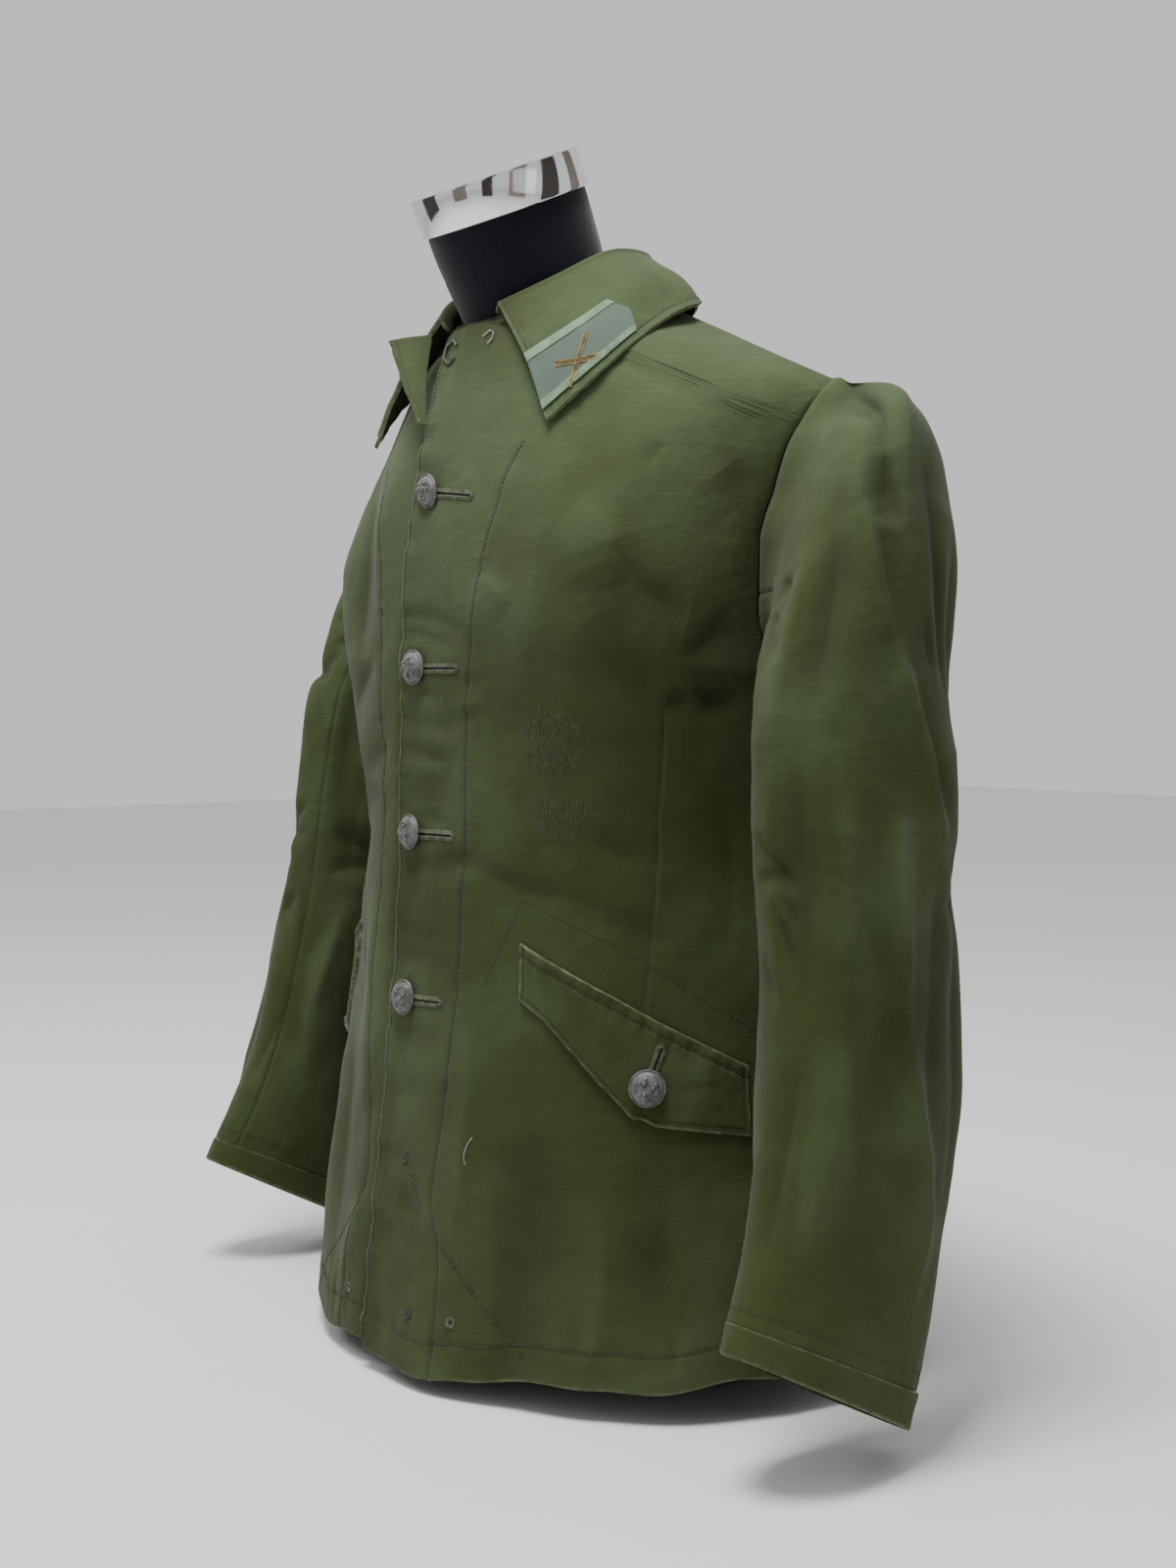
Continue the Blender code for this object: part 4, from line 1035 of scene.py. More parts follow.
GREEN = cloth_finish("olive_cotton", (0.031, 0.044, 0.0115, 1), (0.068, 0.093, 0.043, 1),
                     (0.038, 0.043, 0.0120, 1), (0.118, 0.141, 0.074, 1), 1200.0)
PATCH = cloth_finish("grey_green_wool", (0.080, 0.108, 0.088, 1), (0.105, 0.138, 0.112, 1),
                     (0.070, 0.088, 0.066, 1), (0.150, 0.185, 0.150, 1), 1300.0, 0.0008, 0.4)
BRAID = braid_finish()
DARK_THREAD = thread_finish("dark_thread", (0.014, 0.019, 0.009, 1), (0.034, 0.042, 0.022, 1))
GREEN_THREAD = thread_finish("green_thread", (0.050, 0.066, 0.032, 1), (0.110, 0.132, 0.070, 1))
DARN_THREAD = thread_finish("darning_thread", (0.026, 0.037, 0.014, 1), (0.080, 0.100, 0.050, 1))
PALE_THREAD = thread_finish("pale_thread", (0.30, 0.33, 0.24, 1), (0.45, 0.48, 0.38, 1))
GOLD_THREAD = thread_finish("gold_thread", (0.250, 0.155, 0.036, 1), (0.430, 0.300, 0.095, 1))
SHADOW = thread_finish("slit_shadow", (0.004, 0.005, 0.003, 1), (0.008, 0.009, 0.005, 1))
STEEL = thread_finish("dull_steel", (0.22, 0.22, 0.21, 1), (0.36, 0.36, 0.35, 1))
BUTTON = button_finish()
JERSEY = jersey_finish()
CHROME = chrome_finish()


# ---------------------------------------------------------------- the two fronts
LEFT_FOLDS = table(
    FOLDS,
    (-26, 500, 48, 487, 5, 6, -1.5), (-25, 489, 40, 478, 3, 4, -1.0),          # above the second button
    (-27, 452, 30, 446, 3, 4, -1.2), (-28, 440, 46, 430, -3, 5, -1.2),
    (-26, 414, 46, 404, 4, 4, -1.8), (-26, 398, 44, 396, -3, 5, -1.4),
    (-24, 386, 46, 379, 3, 4, -1.3), (-24, 374, 47, 362, 6, 5, -2.0),          # above the third
    (-26, 342, 46, 336, 4, 5, -1.4), (-27, 305, 40, 298, -3, 4, -1.1),
    (-26, 284, 44, 276, 4, 5, -1.3), (-27, 238, 42, 230, 3, 5, -1.4),
    (-26, 205, 38, 200, -3, 5, -1.2), (-24, 160, 40, 150, 4, 6, -1.3),
    (-24, 118, 36, 110, -3, 5, -1.2), (10, 140, 36, 117, 3, 4, -1.7),
    (20, 348, 62, 343, 2, 4, -1.6), (55, 345, 128, 326, -3, 6, -2.0),          # pull to the pocket
    (120, 330, 196, 301, -3, 7, -1.6), (135, 365, 170, 352, -2, 4, -1.3),
    (187, 437, 206, 453, 3, 4, -2.8), (204, 453, 237, 456, -3, 5, -3.0),       # above the dart
    (208, 438, 233, 453, 2, 4, -1.8), (196, 470, 240, 500, -6, 9, -2.4),
    (160, 545, 212, 497, -10, 14, -3.8), (128, 565, 160, 512, 8, 12, 2.6),     # chest to armpit
    (105, 560, 99, 470, 4, 14, 1.6), (172, 602, 168, 586, 0, 4, -1.0),
    (55, 522, 90, 505, 2, 6, 1.3), (150, 500, 175, 430, 6, 12, -1.8),
    (215, 590, 240, 540, 6, 9, -2.0), (225, 560, 245, 520, 4, 6, 1.6),
    (60, 250, 60, 95, 3, 10, 1.3), (118, 185, 112, 50, 5, 18, -2.4),           # skirt
    (200, 175, 216, 45, -6, 20, -3.0), (160, 160, 166, 40, 4, 16, 2.6),
    (262, 170, 262, 45, 4, 16, 3.0), (86, 120, 96, 40, 4, 10, 1.8),
    (215, 410, 222, 280, 5, 14, -2.2), (240, 400, 250, 260, -4, 10, 2.0),
)
RIGHT_FOLDS = table(
    FOLDS,
    (70, 610, 60, 500, 5, 12, 2.2), (100, 600, 92, 470, -5, 14, -3.0),
    (130, 590, 128, 480, 6, 12, 2.4), (60, 470, 110, 440, 4, 8, -2.0),
    (40, 420, 100, 400, -4, 7, -1.8), (50, 380, 120, 372, 4, 8, -2.0),
    (90, 360, 150, 330, 4, 9, -2.2), (60, 330, 54, 180, -4, 12, 2.6),
    (90, 240, 84, 60, 5, 16, -3.0), (120, 220, 124, 50, -4, 14, 2.8),
    (160, 240, 170, 50, 6, 18, -3.0), (230, 230, 236, 50, -4, 16, 2.6),
    (187, 437, 206, 453, 3, 4, -2.6), (204, 453, 236, 456, -3, 5, -2.6),
    (160, 545, 212, 497, -10, 14, -3.2), (40, 130, 60, 60, 3, 8, 1.8),
)
FACING = bend_line((79, 606), (71, 587), (67, 562), (61, 535), (56, 502), (51, 458), (50, 418), (50, 372),
                   (47, 319), (48, 260), (46, 215), (42, 162), (41, 137), (49, 113), (53, 89), (56, 30))
DART = bend_line((187, 437), (184, 413), (178, 372), (177, 304), (177, 262))
CORNER = bend_line((50, 113), (89, 79), (127, 40))
FLAP_LINE = bend_line((100, 272), (170, 240), (240, 205))
BUTTON_PLACES = [(0.0, height) for height in BUTTON_HEIGHTS]


def front_sheet(side, rows, cols):
    u = packed(cols, (0.0, 0.02, 5.0), (0.20, 0.05, 1.5), (1.0, 0.01, 3.0))
    v = packed(rows, (0.0, 0.02, 4.0), (1.0, 0.01, 2.0))
    share, up = np.meshgrid(u, v)
    columns = rows_at(FRONT, up)
    t0 = columns["left_start" if side > 0 else "right_start"] * share_per_metre(columns)
    t = t0 + (1 - t0) * share
    grid = front_row(t, up, side)
    out = side * normals(front_row, t, up, side)
    from_side = arcs(grid, 1)
    from_hem = arcs(grid, 0)
    start = np.array([np.interp(0.0, line_t, line) for line_t, line in zip(t, from_side)])
    plan = np.stack([from_side - start[:, None] + np.maximum(t[:, :1], 0) / share_per_metre(columns)[:, :1],
                     grid[..., 2]], -1)
    sheet = Sheet(grid, out, plan, np.minimum(from_side, from_hem))
    to_seam = np.minimum(from_side[:, -1:] - from_side, from_hem[-1:] - from_hem)
    return sheet, up, from_side, from_hem, to_seam


def front_relief(sheet, side, up, from_side, from_hem, to_seam):
    plan = sheet.plan
    across, height = plan[..., 0], plan[..., 1]
    folds = fold_relief(plan, LEFT_FOLDS if side > 0 else RIGHT_FOLDS)
    folds += waviness(sheet, 1.3 * MM, 0.075, 11 + side)
    hem_wave = 5.5 * MM * speckle(across, 0 * across, 0.055, 21 + side) * np.exp(-from_hem / 0.09)
    rest = np.ones_like(across)
    for x, y in BUTTON_PLACES:
        rest *= 1 - 0.92 * np.exp(-(((across - x) ** 2 + (height - y) ** 2) / 0.016 ** 2) ** 2)
    flap_far = near_path(plan, FLAP_LINE)[0]
    rest *= 1 - 0.8 * np.exp(-(flap_far / 0.036) ** 4)
    if side < 0:
        rest *= 1 - 0.75 * np.exp(-(np.maximum(across, 0) / 0.03) ** 4)
    amount = (1.7 * folds + hem_wave) * rest
    facing = near_path(plan, FACING)[0]
    dart, _, dart_side = near_path(plan, DART)
    corner = near_path(plan, CORNER)[0]
    hem_line = np.abs(from_hem - HEM_DEPTH)
    free_edge = 2.2 * MM * np.exp(-(from_side / 0.008) ** 2)          # the placket's edge stands up
    amount += free_edge * (1 if side > 0 else -0.6)
    if side < 0:
        under_lap = np.exp(-(np.maximum(across - 0.019, 0) / 0.007) ** 2)
        amount -= 3.0 * MM * under_lap * (1 - ease((up - 0.70) / 0.05))
    amount += pucker(from_side, height, 0.011, 0.0110, 1.15 * MM, 31 + side)
    amount += pucker(facing, height, 0.008, 0.0120, 0.85 * MM, 37 + side)
    amount += pucker(hem_line, across, 0.012, 0.0140, 1.0 * MM, 41 + side)
    amount += pucker(corner, across, 0.005, 0.0090, 0.40 * MM, 43 + side)
    amount += groove(facing, 1.3 * MM, 0.7 * MM) + groove(hem_line, 1.4 * MM, 0.5 * MM)
    amount += groove(corner, 1.2 * MM, 0.5 * MM)
    low_side = np.where(dart_side < 0, ease(1 - dart / 0.03), 0)
    amount += groove(dart, 1.4 * MM, 0.9 * MM) - 0.9 * MM * low_side
    seam_fade = ease(to_seam / 0.030)
    amount = amount * (0.15 + 0.85 * seam_fade)
    amount += pucker(to_seam, height + across, 0.007, 0.0120, 0.5 * MM, 47 + side) * ease(to_seam / 0.002)
    amount += groove(to_seam, 2.0 * MM, 0.5 * MM)
    return amount


def make_front(word, side, rows, cols):
    sheet, up, from_side, from_hem, to_seam = front_sheet(side, rows, cols)
    size = cut_of(sheet)
    sheet.raise_by(front_relief(sheet, side, up, from_side, from_hem, to_seam))
    uneven = 0.0060 + 0.0045 * speckle(sheet.plan[..., 0], 0 * up, 0.042, 51 + side)
    off_seam = ease(to_seam / 0.03 + 0.2 * (from_hem > 0.03))
    sheet.grid[..., 2] += uneven * np.exp(-(from_hem / 0.05) ** 2) * off_seam
    corner_round = 0.007 * ease(1 - from_side / 0.010) ** 2
    sheet.grid[..., 2] += corner_round * np.exp(-(from_hem / 0.012) ** 2)
    sheet.settle()
    sheet.round_edges()
    made = ride(shell("cloth_front_" + word, sheet, CLOTH, GREEN), "jacket_cloth", "front_" + word)
    declare(size)
    edge_line = sheet.beside(STITCH_IN, THREAD_LIFT, 1, 0.004, 0.86 if side > 0 else 0.60)
    hem_line = sheet.beside(HEM_DEPTH, THREAD_LIFT, 0, 0.16, 0.995)
    facing = sheet.at(FACING, THREAD_LIFT)
    corner = sheet.at(CORNER, THREAD_LIFT)
    stitches("stitches_front_" + word, [edge_line, hem_line, facing, corner], DARK_THREAD, radius=0.00042)
    return sheet


def cut_of(sheet):
    """Width, length and area of the flat cut, from the sheet before its folds."""
    a = sheet.grid[:-1, 1:] - sheet.grid[:-1, :-1]
    b = sheet.grid[1:, :-1] - sheet.grid[:-1, :-1]
    area = float(np.linalg.norm(np.cross(a, b), axis=-1).sum())
    wide = float(arcs(sheet.grid, 1)[:, -1].max())
    long = float(arcs(sheet.grid, 0)[-1].max())
    return round(wide, 3), round(long, 3), min(round(area, 4), round(wide, 3) * round(long, 3))


def declare(size):
    wide, long, area = size
    # a tape narrower than this is declared with its own area
    long = max(long, 0.010)             # a length under 10 mm is raised to 10 mm


# ---------------------------------------------------------------- the back
BACK_FOLDS = table(
    FOLDS,
    (60, 600, 66, 470, 5, 16, -2.6), (100, 590, 120, 480, -5, 16, 2.6), (30, 560, 26, 430, 4, 14, 1.6),
    (20, 380, 90, 360, 6, 9, -2.2), (40, 350, 140, 345, -5, 10, -2.4), (30, 320, 110, 300, 6, 9, -2.0),
    (90, 330, 96, 150, 6, 18, 2.8), (50, 280, 46, 70, -5, 20, -3.2), (140, 300, 150, 60, 6, 18, -3.0),
    (190, 260, 196, 60, -6, 16, 2.6), (150, 520, 190, 500, 5, 9, -2.4), (130, 470, 190, 470, 5, 9, -2.2),
    (10, 300, 14, 80, 3, 18, 1.8), (110, 640, 150, 600, 4, 9, -1.4),
)


def make_back(rows, cols):
    v = np.unique(np.append(packed(rows, (0.0, 0.02, 4.0), (1.0, 0.02, 2.0)), NECKLINE))
    u = packed(cols, (1.0, 0.01, 3.0))
    share, up = np.meshgrid(u, v)
    neck_row = int(np.argmin(np.abs(v - NECKLINE)))
    halves = []
    for side in (1, -1):
        grid = back(share, up)
        out = -normals(back, share, up)
        grid[..., 0] *= side
        out[..., 0] *= side
        out[:neck_row + 1, 0, 0] = 0
        out /= np.linalg.norm(out, axis=-1)[..., None]
        from_middle = arcs(grid, 1)
        from_hem = arcs(grid, 0)
        plan = np.stack([side * (from_middle + np.abs(grid[:, :1, 0])), grid[..., 2]], -1)
        neck = np.where(up > NECKLINE, from_middle, 1.0)
        sheet = Sheet(grid, out, plan, np.minimum(from_hem, neck))
        if side > 0:
            wide, long, area = cut_of(sheet)
        folded = plan * (side, 1)
        ridges = fold_relief(folded, BACK_FOLDS)
        if side < 0:
            ridges = 0.85 * fold_relief(folded * (1.04, 1) + (0.006, -0.012), BACK_FOLDS)
        ridges *= ease(from_middle / 0.03)
        ridges += waviness(sheet, 1.3 * MM, 0.08, 61)
        ridges += 2.4 * MM * speckle(plan[..., 0], 0 * up, 0.08, 62) * np.exp(-from_hem / 0.10)
        to_seam = np.minimum(from_middle[:, -1:] - from_middle, from_hem[-1:] - from_hem)
        hem_line = np.abs(from_hem - HEM_DEPTH)
        turned_hem = pucker(hem_line, plan[..., 0], 0.011, 0.014, 0.7 * MM, 63)
        ridges += turned_hem + groove(hem_line, 1.4 * MM, 0.5 * MM)
        ridges = ridges * (0.15 + 0.85 * ease(to_seam / 0.030)) + groove(to_seam, 2.2 * MM, 1.1 * MM)
        sheet.raise_by(ridges)
        middle = sheet.out[:neck_row + 1, 0].copy()
        sheet.settle()
        sheet.out[:neck_row + 1, 0] = middle
        sheet.round_edges()
        halves.append(sheet)
    made = shell_of_halves("cloth_back", halves, GREEN)
    ride(made, "jacket_cloth", "back")
    declare((2 * wide, long, 2 * area))
    lines = [half.beside(HEM_DEPTH, THREAD_LIFT, 0) for half in halves]
    stitches("stitches_back", lines, DARK_THREAD)
    return halves


def shell_of_halves(name, halves, finish):
    """Both halves in one piece, welded down the middle below the neckline."""
    made = [shell(name + str(k), half, CLOTH, finish) for k, half in enumerate(halves)]
    work = bmesh.new()
    for half in made:
        work.from_mesh(half.data)
    rim = [face for face in work.faces if all(abs(vert.co.x) < 1e-5 for vert in face.verts)]
    bmesh.ops.delete(work, geom=rim, context="FACES_ONLY")
    middle = [vert for vert in work.verts if abs(vert.co.x) < 1e-5]
    bmesh.ops.remove_doubles(work, verts=middle, dist=1e-5)
    mesh = made[0].data
    work.to_mesh(mesh)
    work.free()
    mesh.shade_smooth()
    mesh.set_sharp_from_angle(angle=math.radians(50))
    spare = made[1].data
    bpy.data.objects.remove(made[1])
    bpy.data.meshes.remove(spare)
    made[0].name = name
    return made[0]


# ---------------------------------------------------------------- sleeves and cuff bands
SLEEVE_FOLDS = table(
    FOLDS,
    (0, 4, 22, 46, -4, 5, -3.4), (22, 44, 13, 76, -2, 5, -2.6), (12, 74, 32, 68, 3, 3, 1.2),
    (-8, 8, 8, 60, -4, 8, 2.4), (28, 12, 40, 60, 3, 9, 2.6),                    # pleat at the head
    (39, 40, 14, 122, -4, 4, 2.4), (14, 118, -23, 222, 3, 4, 2.6), (31, 60, 2, 140, -4, 8, -1.8),
    (0, 140, -32, 220, 3, 8, -1.8), (-6, 48, -32, 146, 4, 5, -2.4), (-6, 112, -17, 136, 1, 4, -1.4),
    (8, 208, 1, 330, -3, 5, 2.2), (1, 325, -21, 455, 5, 6, 2.0), (20, 220, 14, 390, 4, 11, -2.2),
    (-14, 240, -14, 390, 3, 10, -2.2), (92, 266, 74, 302, 2, 4, -1.6), (84, 262, 70, 280, 2, 3, -1.0),
    (58, 44, 60, 165, 3, 10, -2.6), (76, 50, 84, 185, -3, 8, 2.2), (70, 170, 66, 330, 4, 12, -2.0),
    (88, 190, 86, 330, -3, 9, 1.8), (45, 170, 40, 300, 3, 14, 1.6), (108, 230, 70, 262, 4, 5, -2.0),
    (112, 252, 76, 246, -3, 4, -1.6), (112, 300, 84, 322, 3, 6, -1.6), (40, 330, 60, 455, 4, 12, 1.8),
    (66, 350, 80, 455, -3, 9, -1.8), (104, 62, 88, 84, 3, 5, -1.8), (108, 84, 92, 100, -2, 4, -1.6),
    (108, 104, 84, 128, 3, 6, -1.4), (-40, 60, -60, 180, 4, 12, -2.6), (-62, 40, -70, 160, 3, 12, 2.2),
    (-50, 240, -40, 420, 4, 14, -2.4), (-80, 250, -72, 400, -4, 12, 2.2), (-30, 230, -70, 262, 4, 6, -2.0),
    (-30, 262, -74, 250, -3, 5, -1.8), (130, 120, 140, 260, 4, 12, -2.2), (160, 140, 150, 300, 4, 14, 2.2),
    (190, 130, 200, 300, -4, 12, -2.2), (126, 250, 190, 262, 5, 6, -2.2), (130, 282, 186, 276, -4, 5, -2.0),
    (140, 320, 150, 450, 4, 12, 2.0), (180, 320, 176, 440, 4, 12, -2.0),
)


RIGHT_SLEEVE_FOLDS = table(
    FOLDS,
    (109, 285, 120, 372, 2, 6, 1.8), (121, 366, 101, 440, -2, 5, -2.2), (62, 128, 104, 134, 2, 5, -2.4),
    (150, 300, 141, 380, 3, 6, 2.0), (152, 200, 146, 290, 3, 9, -1.8),
)


def sleeve_sheet(side, low_angle, high_angle, rows, cols):
    s = packed(rows, (0.0, 0.03, 2.5), (1.0, 0.02, 1.5)) * CUFF_SHARE
    phi = low_angle + (high_angle - low_angle) * packed(cols, (0.0, 0.012, 3.0), (1.0, 0.012, 3.0))
    down, angle = np.meshgrid(s, phi, indexing="ij")
    grid = sleeve(down, angle, side)
    start = np.minimum(down, 1 - SMALL)
    lengthways = sleeve(start + SMALL, angle, side) - sleeve(start, angle, side)
    around = sleeve(down, angle + SMALL, side) - sleeve(down, angle - SMALL, side)
    out = -side * np.cross(lengthways, around)
    out /= np.linalg.norm(out, axis=-1)[..., None]
    plan = np.stack([angle * SLEEVE_ROUND, down * SLEEVE_LONG], -1)
    from_top = arcs(grid, 0)
    from_side = arcs(grid, 1)
    to_seam = np.minimum(from_side, from_side[:, -1:] - from_side)
    sheet = Sheet(grid, out, plan, np.full(down.shape, 0.5))
    return sheet, from_top, to_seam


def make_sleeve(word, side, rows, cols_upper, cols_under):
    pieces = {
        "upper": (BACK_SEAM - 2 * math.pi + SEAM_GAP, FRONT_SEAM - SEAM_GAP, cols_upper),
        "under": (FRONT_SEAM + SEAM_GAP, BACK_SEAM - SEAM_GAP, cols_under),
    }
    sheets = {}
    for part, (low, high, cols) in pieces.items():
        sheet, from_top, to_seam = sleeve_sheet(side, low, high, rows, cols)
        size = cut_of(sheet)
        plan = sheet.plan
        if side > 0:
            folds = fold_relief(plan, SLEEVE_FOLDS)
        else:
            folds = 0.9 * fold_relief(plan * (0.97, 1.03) + (0.004, -0.010), SLEEVE_FOLDS)
            folds += fold_relief(plan, RIGHT_SLEEVE_FOLDS)
        folds += waviness(sheet, 1.2 * MM, 0.06, 71 + side)
        amount = 2.4 * folds * ease(from_top / 0.022) * (0.2 + 0.8 * ease(to_seam / 0.020))
        to_cuff = from_top[-1:] - from_top
        amount = amount * (0.25 + 0.75 * ease(to_cuff / 0.04))
        amount += 1.6 * MM * np.exp(-((from_top - 0.007) / 0.006) ** 2)          # the head stands up
        amount += groove(from_top, 2.0 * MM, 0.4 * MM) + groove(to_seam, 1.6 * MM, 0.6 * MM)
        amount += pucker(from_top, plan[..., 0], 0.012, 0.011, 0.6 * MM, 73) * ease(from_top / 0.002)
        amount += pucker(to_seam, plan[..., 1], 0.006, 0.011, 0.45 * MM, 75) * ease(to_seam / 0.002)
        cuff_line = np.abs(plan[..., 1] - CUFF_STITCH * SLEEVE_LONG)
        amount += groove(cuff_line, 1.3 * MM, 0.5 * MM)
        amount += pucker(cuff_line, plan[..., 0], 0.008, 0.010, 0.6 * MM, 77)
        sheet.raise_by(amount)
        sheet.settle()
        name = "sleeve_" + word + "_" + part
        made = ride(shell("cloth_" + name, sheet, CLOTH, GREEN), "jacket_cloth", name)
        declare(size)
        sheets[part] = sheet
    lines = []
    for sheet in sheets.values():
        across = np.linspace(sheet.plan[0, 0, 0], sheet.plan[0, -1, 0], 60)[1:-1]
        places = np.stack([across, 0 * across + CUFF_STITCH * SLEEVE_LONG], 1)
        lines.append(sheet.at(places, THREAD_LIFT))
    stitches("stitches_sleeve_" + word, lines, DARK_THREAD)
    return sheets


def make_cuff(word, side):
    s = np.linspace(CUFF_SHARE + 0.0005, CUFF_BAND[1], 14)
    phi = BACK_SEAM + SEAM_GAP + np.linspace(0, 2 * math.pi - 2 * SEAM_GAP, 260)
    down, angle = np.meshgrid(s, phi, indexing="ij")
    grid = sleeve(down, angle, side)
    middle = grid.mean(axis=1, keepdims=True)
    lift = math.radians(SLEEVE["raise"][-1])
    axis = np.array([0.0, -math.sin(lift), -math.cos(lift)])
    out = grid - middle
    out -= (out @ axis)[..., None] * axis
    out /= np.linalg.norm(out, axis=-1)[..., None]
    plan = np.stack([angle * SLEEVE_ROUND, down * SLEEVE_LONG], -1)
    across = arcs(grid, 0)
    sheet = Sheet(grid + out * CUFF_PROUD, out, plan, np.minimum(across + 0.0006, across[-1:] - across))
    size = cut_of(sheet)
    sheet.raise_by(0.5 * MM * speckle(plan[..., 0], plan[..., 1], 0.009, 81) +
                   1.1 * MM * speckle(plan[..., 0], 0 * angle, 0.045, 82))
    sheet.round_edges()
    made = shell("cloth_cuff_" + word, sheet, CLOTH + CUFF_PROUD, GREEN)
    ride(made, "jacket_cloth", "cuff_" + word)
    declare(size)


# ---------------------------------------------------------------- collar, patches, lapel
COLLAR_FOLDS = table(
    FOLDS,
    (134, 66, 122, 118, 4, 5, -2.6), (146, 70, 138, 118, -3, 7, 1.8), (112, 80, 106, 118, 2, 5, -1.2),
    (20, 62, 80, 60, 3, 8, 0.9), (172, 66, 168, 118, 3, 8, -1.6), (205, 64, 206, 118, 3, 8, 1.6),
    (270, 66, 262, 118, 3, 7, -1.8), (330, 66, 342, 118, 3, 6, -2.0), (400, 64, 412, 118, 3, 8, 1.2),
)


def make_collar():
    along = packed(150, (0.0, 0.02, 3.0))
    w = packed(84, (1.0, 0.03, 3.5), (0.4, 0.06, 1.5))
    t = np.concatenate([along, 2 - along[::-1][1:]])
    tt, ww = np.meshgrid(t, w)
    left = tt <= 1
    inside = np.where(left, tt, 2 - tt)
    grid = np.where(left[..., None], collar(inside, ww, 1), collar(inside, ww, -1))
    out = np.where(left[..., None], -normals(collar, inside, ww, 1), normals(collar, inside, ww, -1))
    middle = len(along) - 1
    out[:, middle, 0] = 0
    out /= np.linalg.norm(out, axis=-1)[..., None]
    grid = grid + out * COLLAR_CLOTH
    plan = np.stack([tt * COLLAR_LONG, ww * COLLAR_DEEP], -1)
    from_end = arcs(grid, 1)
    from_end = np.minimum(from_end, from_end[:, -1:] - from_end)
    from_seam = arcs(grid, 0)
    from_edge = from_seam[-1:] - from_seam
    sheet = Sheet(grid, out, plan, np.minimum(from_end, from_edge))
    size = cut_of(sheet)
    leaf = ease((ww - 0.46) / 0.1)
    amount = (fold_relief(plan, COLLAR_FOLDS) + waviness(sheet, 0.7 * MM, 0.035, 91)) * leaf
    amount += pucker(from_edge, plan[..., 0], 0.010, 0.0085, 0.75 * MM, 92) * leaf
    amount += pucker(from_end, plan[..., 1], 0.008, 0.0100, 0.45 * MM, 93) * leaf
    amount += groove(np.abs(from_edge - 0.006), 1.4 * MM, 0.5 * MM) * leaf
    amount += groove(np.abs(from_end - 0.006), 1.4 * MM, 0.4 * MM) * leaf
    length = plan[..., 0]
    low_leaf = ease((ww - 0.68) / 0.03)
    left_patch = ease(length / 0.004) * ease((0.100 - length) / 0.01) * low_leaf
    right_patch = ease((2 * COLLAR_LONG - length) / 0.004) * ease((length - 2 * COLLAR_LONG + 0.1) / 0.01)
    under_patch = np.maximum(left_patch, right_patch * low_leaf) * ease((0.985 - ww) / 0.03)
    amount *= 1 - 0.6 * under_patch
    sheet.raise_by(amount)
    sheet.settle()
    sheet.round_edges()
    made = ride(shell("cloth_collar", sheet, COLLAR_CLOTH, GREEN), "jacket_cloth", "collar")
    declare(size)
    line = np.linspace(0.006, 2 * COLLAR_LONG - 0.006, 200)
    edge_w = 0.95
    runs = [sheet.at(np.stack([line, 0 * line + edge_w * COLLAR_DEEP], 1), THREAD_LIFT)]
    for x in (0.0055, 2 * COLLAR_LONG - 0.0055):
        up = np.linspace(0.44, edge_w, 40) * COLLAR_DEEP
        runs.append(sheet.at(np.stack([0 * up + x, up], 1), THREAD_LIFT))
    stitches("stitches_collar", runs, DARK_THREAD, 0.0026, 0.0019, 0.00026)
    return sheet


def patch_piece(name, node, on, side, low, high, finish, slot_name, height):
    """A strip on the collar leaf between two shares of its depth, with a pointed back end."""
    w = np.linspace(low, high, max(6, int((high - low) * 120)))
    share = np.linspace(0, 1, 60)
    ss, ww = np.meshgrid(share, w)
    depth = (ww - (0.5 + PATCH_DEPTH[0] / 2)) / ((PATCH_DEPTH[1] - PATCH_DEPTH[0]) / 2)
    end = np.interp(depth, (0.0, 0.45, 1.0), (0.372, 0.412, 0.404))
    t = 0.001 + (end - 0.001) * ss
    along = np.where(side > 0, t, 2 - t) * COLLAR_LONG
    places = np.stack([along, ww * COLLAR_DEEP], -1).reshape(-1, 2)
    grid = on.at(places, height).reshape(ss.shape + (3,))
    out = on.out_at(places).reshape(ss.shape + (3,))
    from_side = arcs(grid, 1)
    from_top = arcs(grid, 0)
    edge = np.minimum(np.minimum(from_side, from_side[:, -1:] - from_side),
                      np.minimum(from_top, from_top[-1:] - from_top))
    plan = np.stack([from_side, from_top + ww[:1, :1]], -1)
    sheet = Sheet(grid, out, plan, edge)
    size = cut_of(sheet)
    sheet.raise_by(0.12 * MM * speckle(plan[..., 0], plan[..., 1], 0.006, 95))
    made = ride(shell(name, sheet, 0.0006, finish), slot_name, node)
    declare(size)


def make_patches(on):
    low, high = (0.5 + share / 2 for share in PATCH_DEPTH)
    tape = (high - low) * BRAID_SHARE
    for word, side in (("left", 1), ("right", -1)):
        patch_piece("wool_patch_" + word, "patch_" + word, on, side,
                    low + tape * 0.6, high - tape * 0.6, PATCH, "patch_cloth", 0.0008)
        for place, start, end in (("_top", low, low + tape), ("_bottom", high - tape, high)):
            patch_piece("tape_" + word + place, "braid_" + word + place, on, side,
                        start, end, BRAID, "braid", 0.0013)
        make_motif(word, side, on)


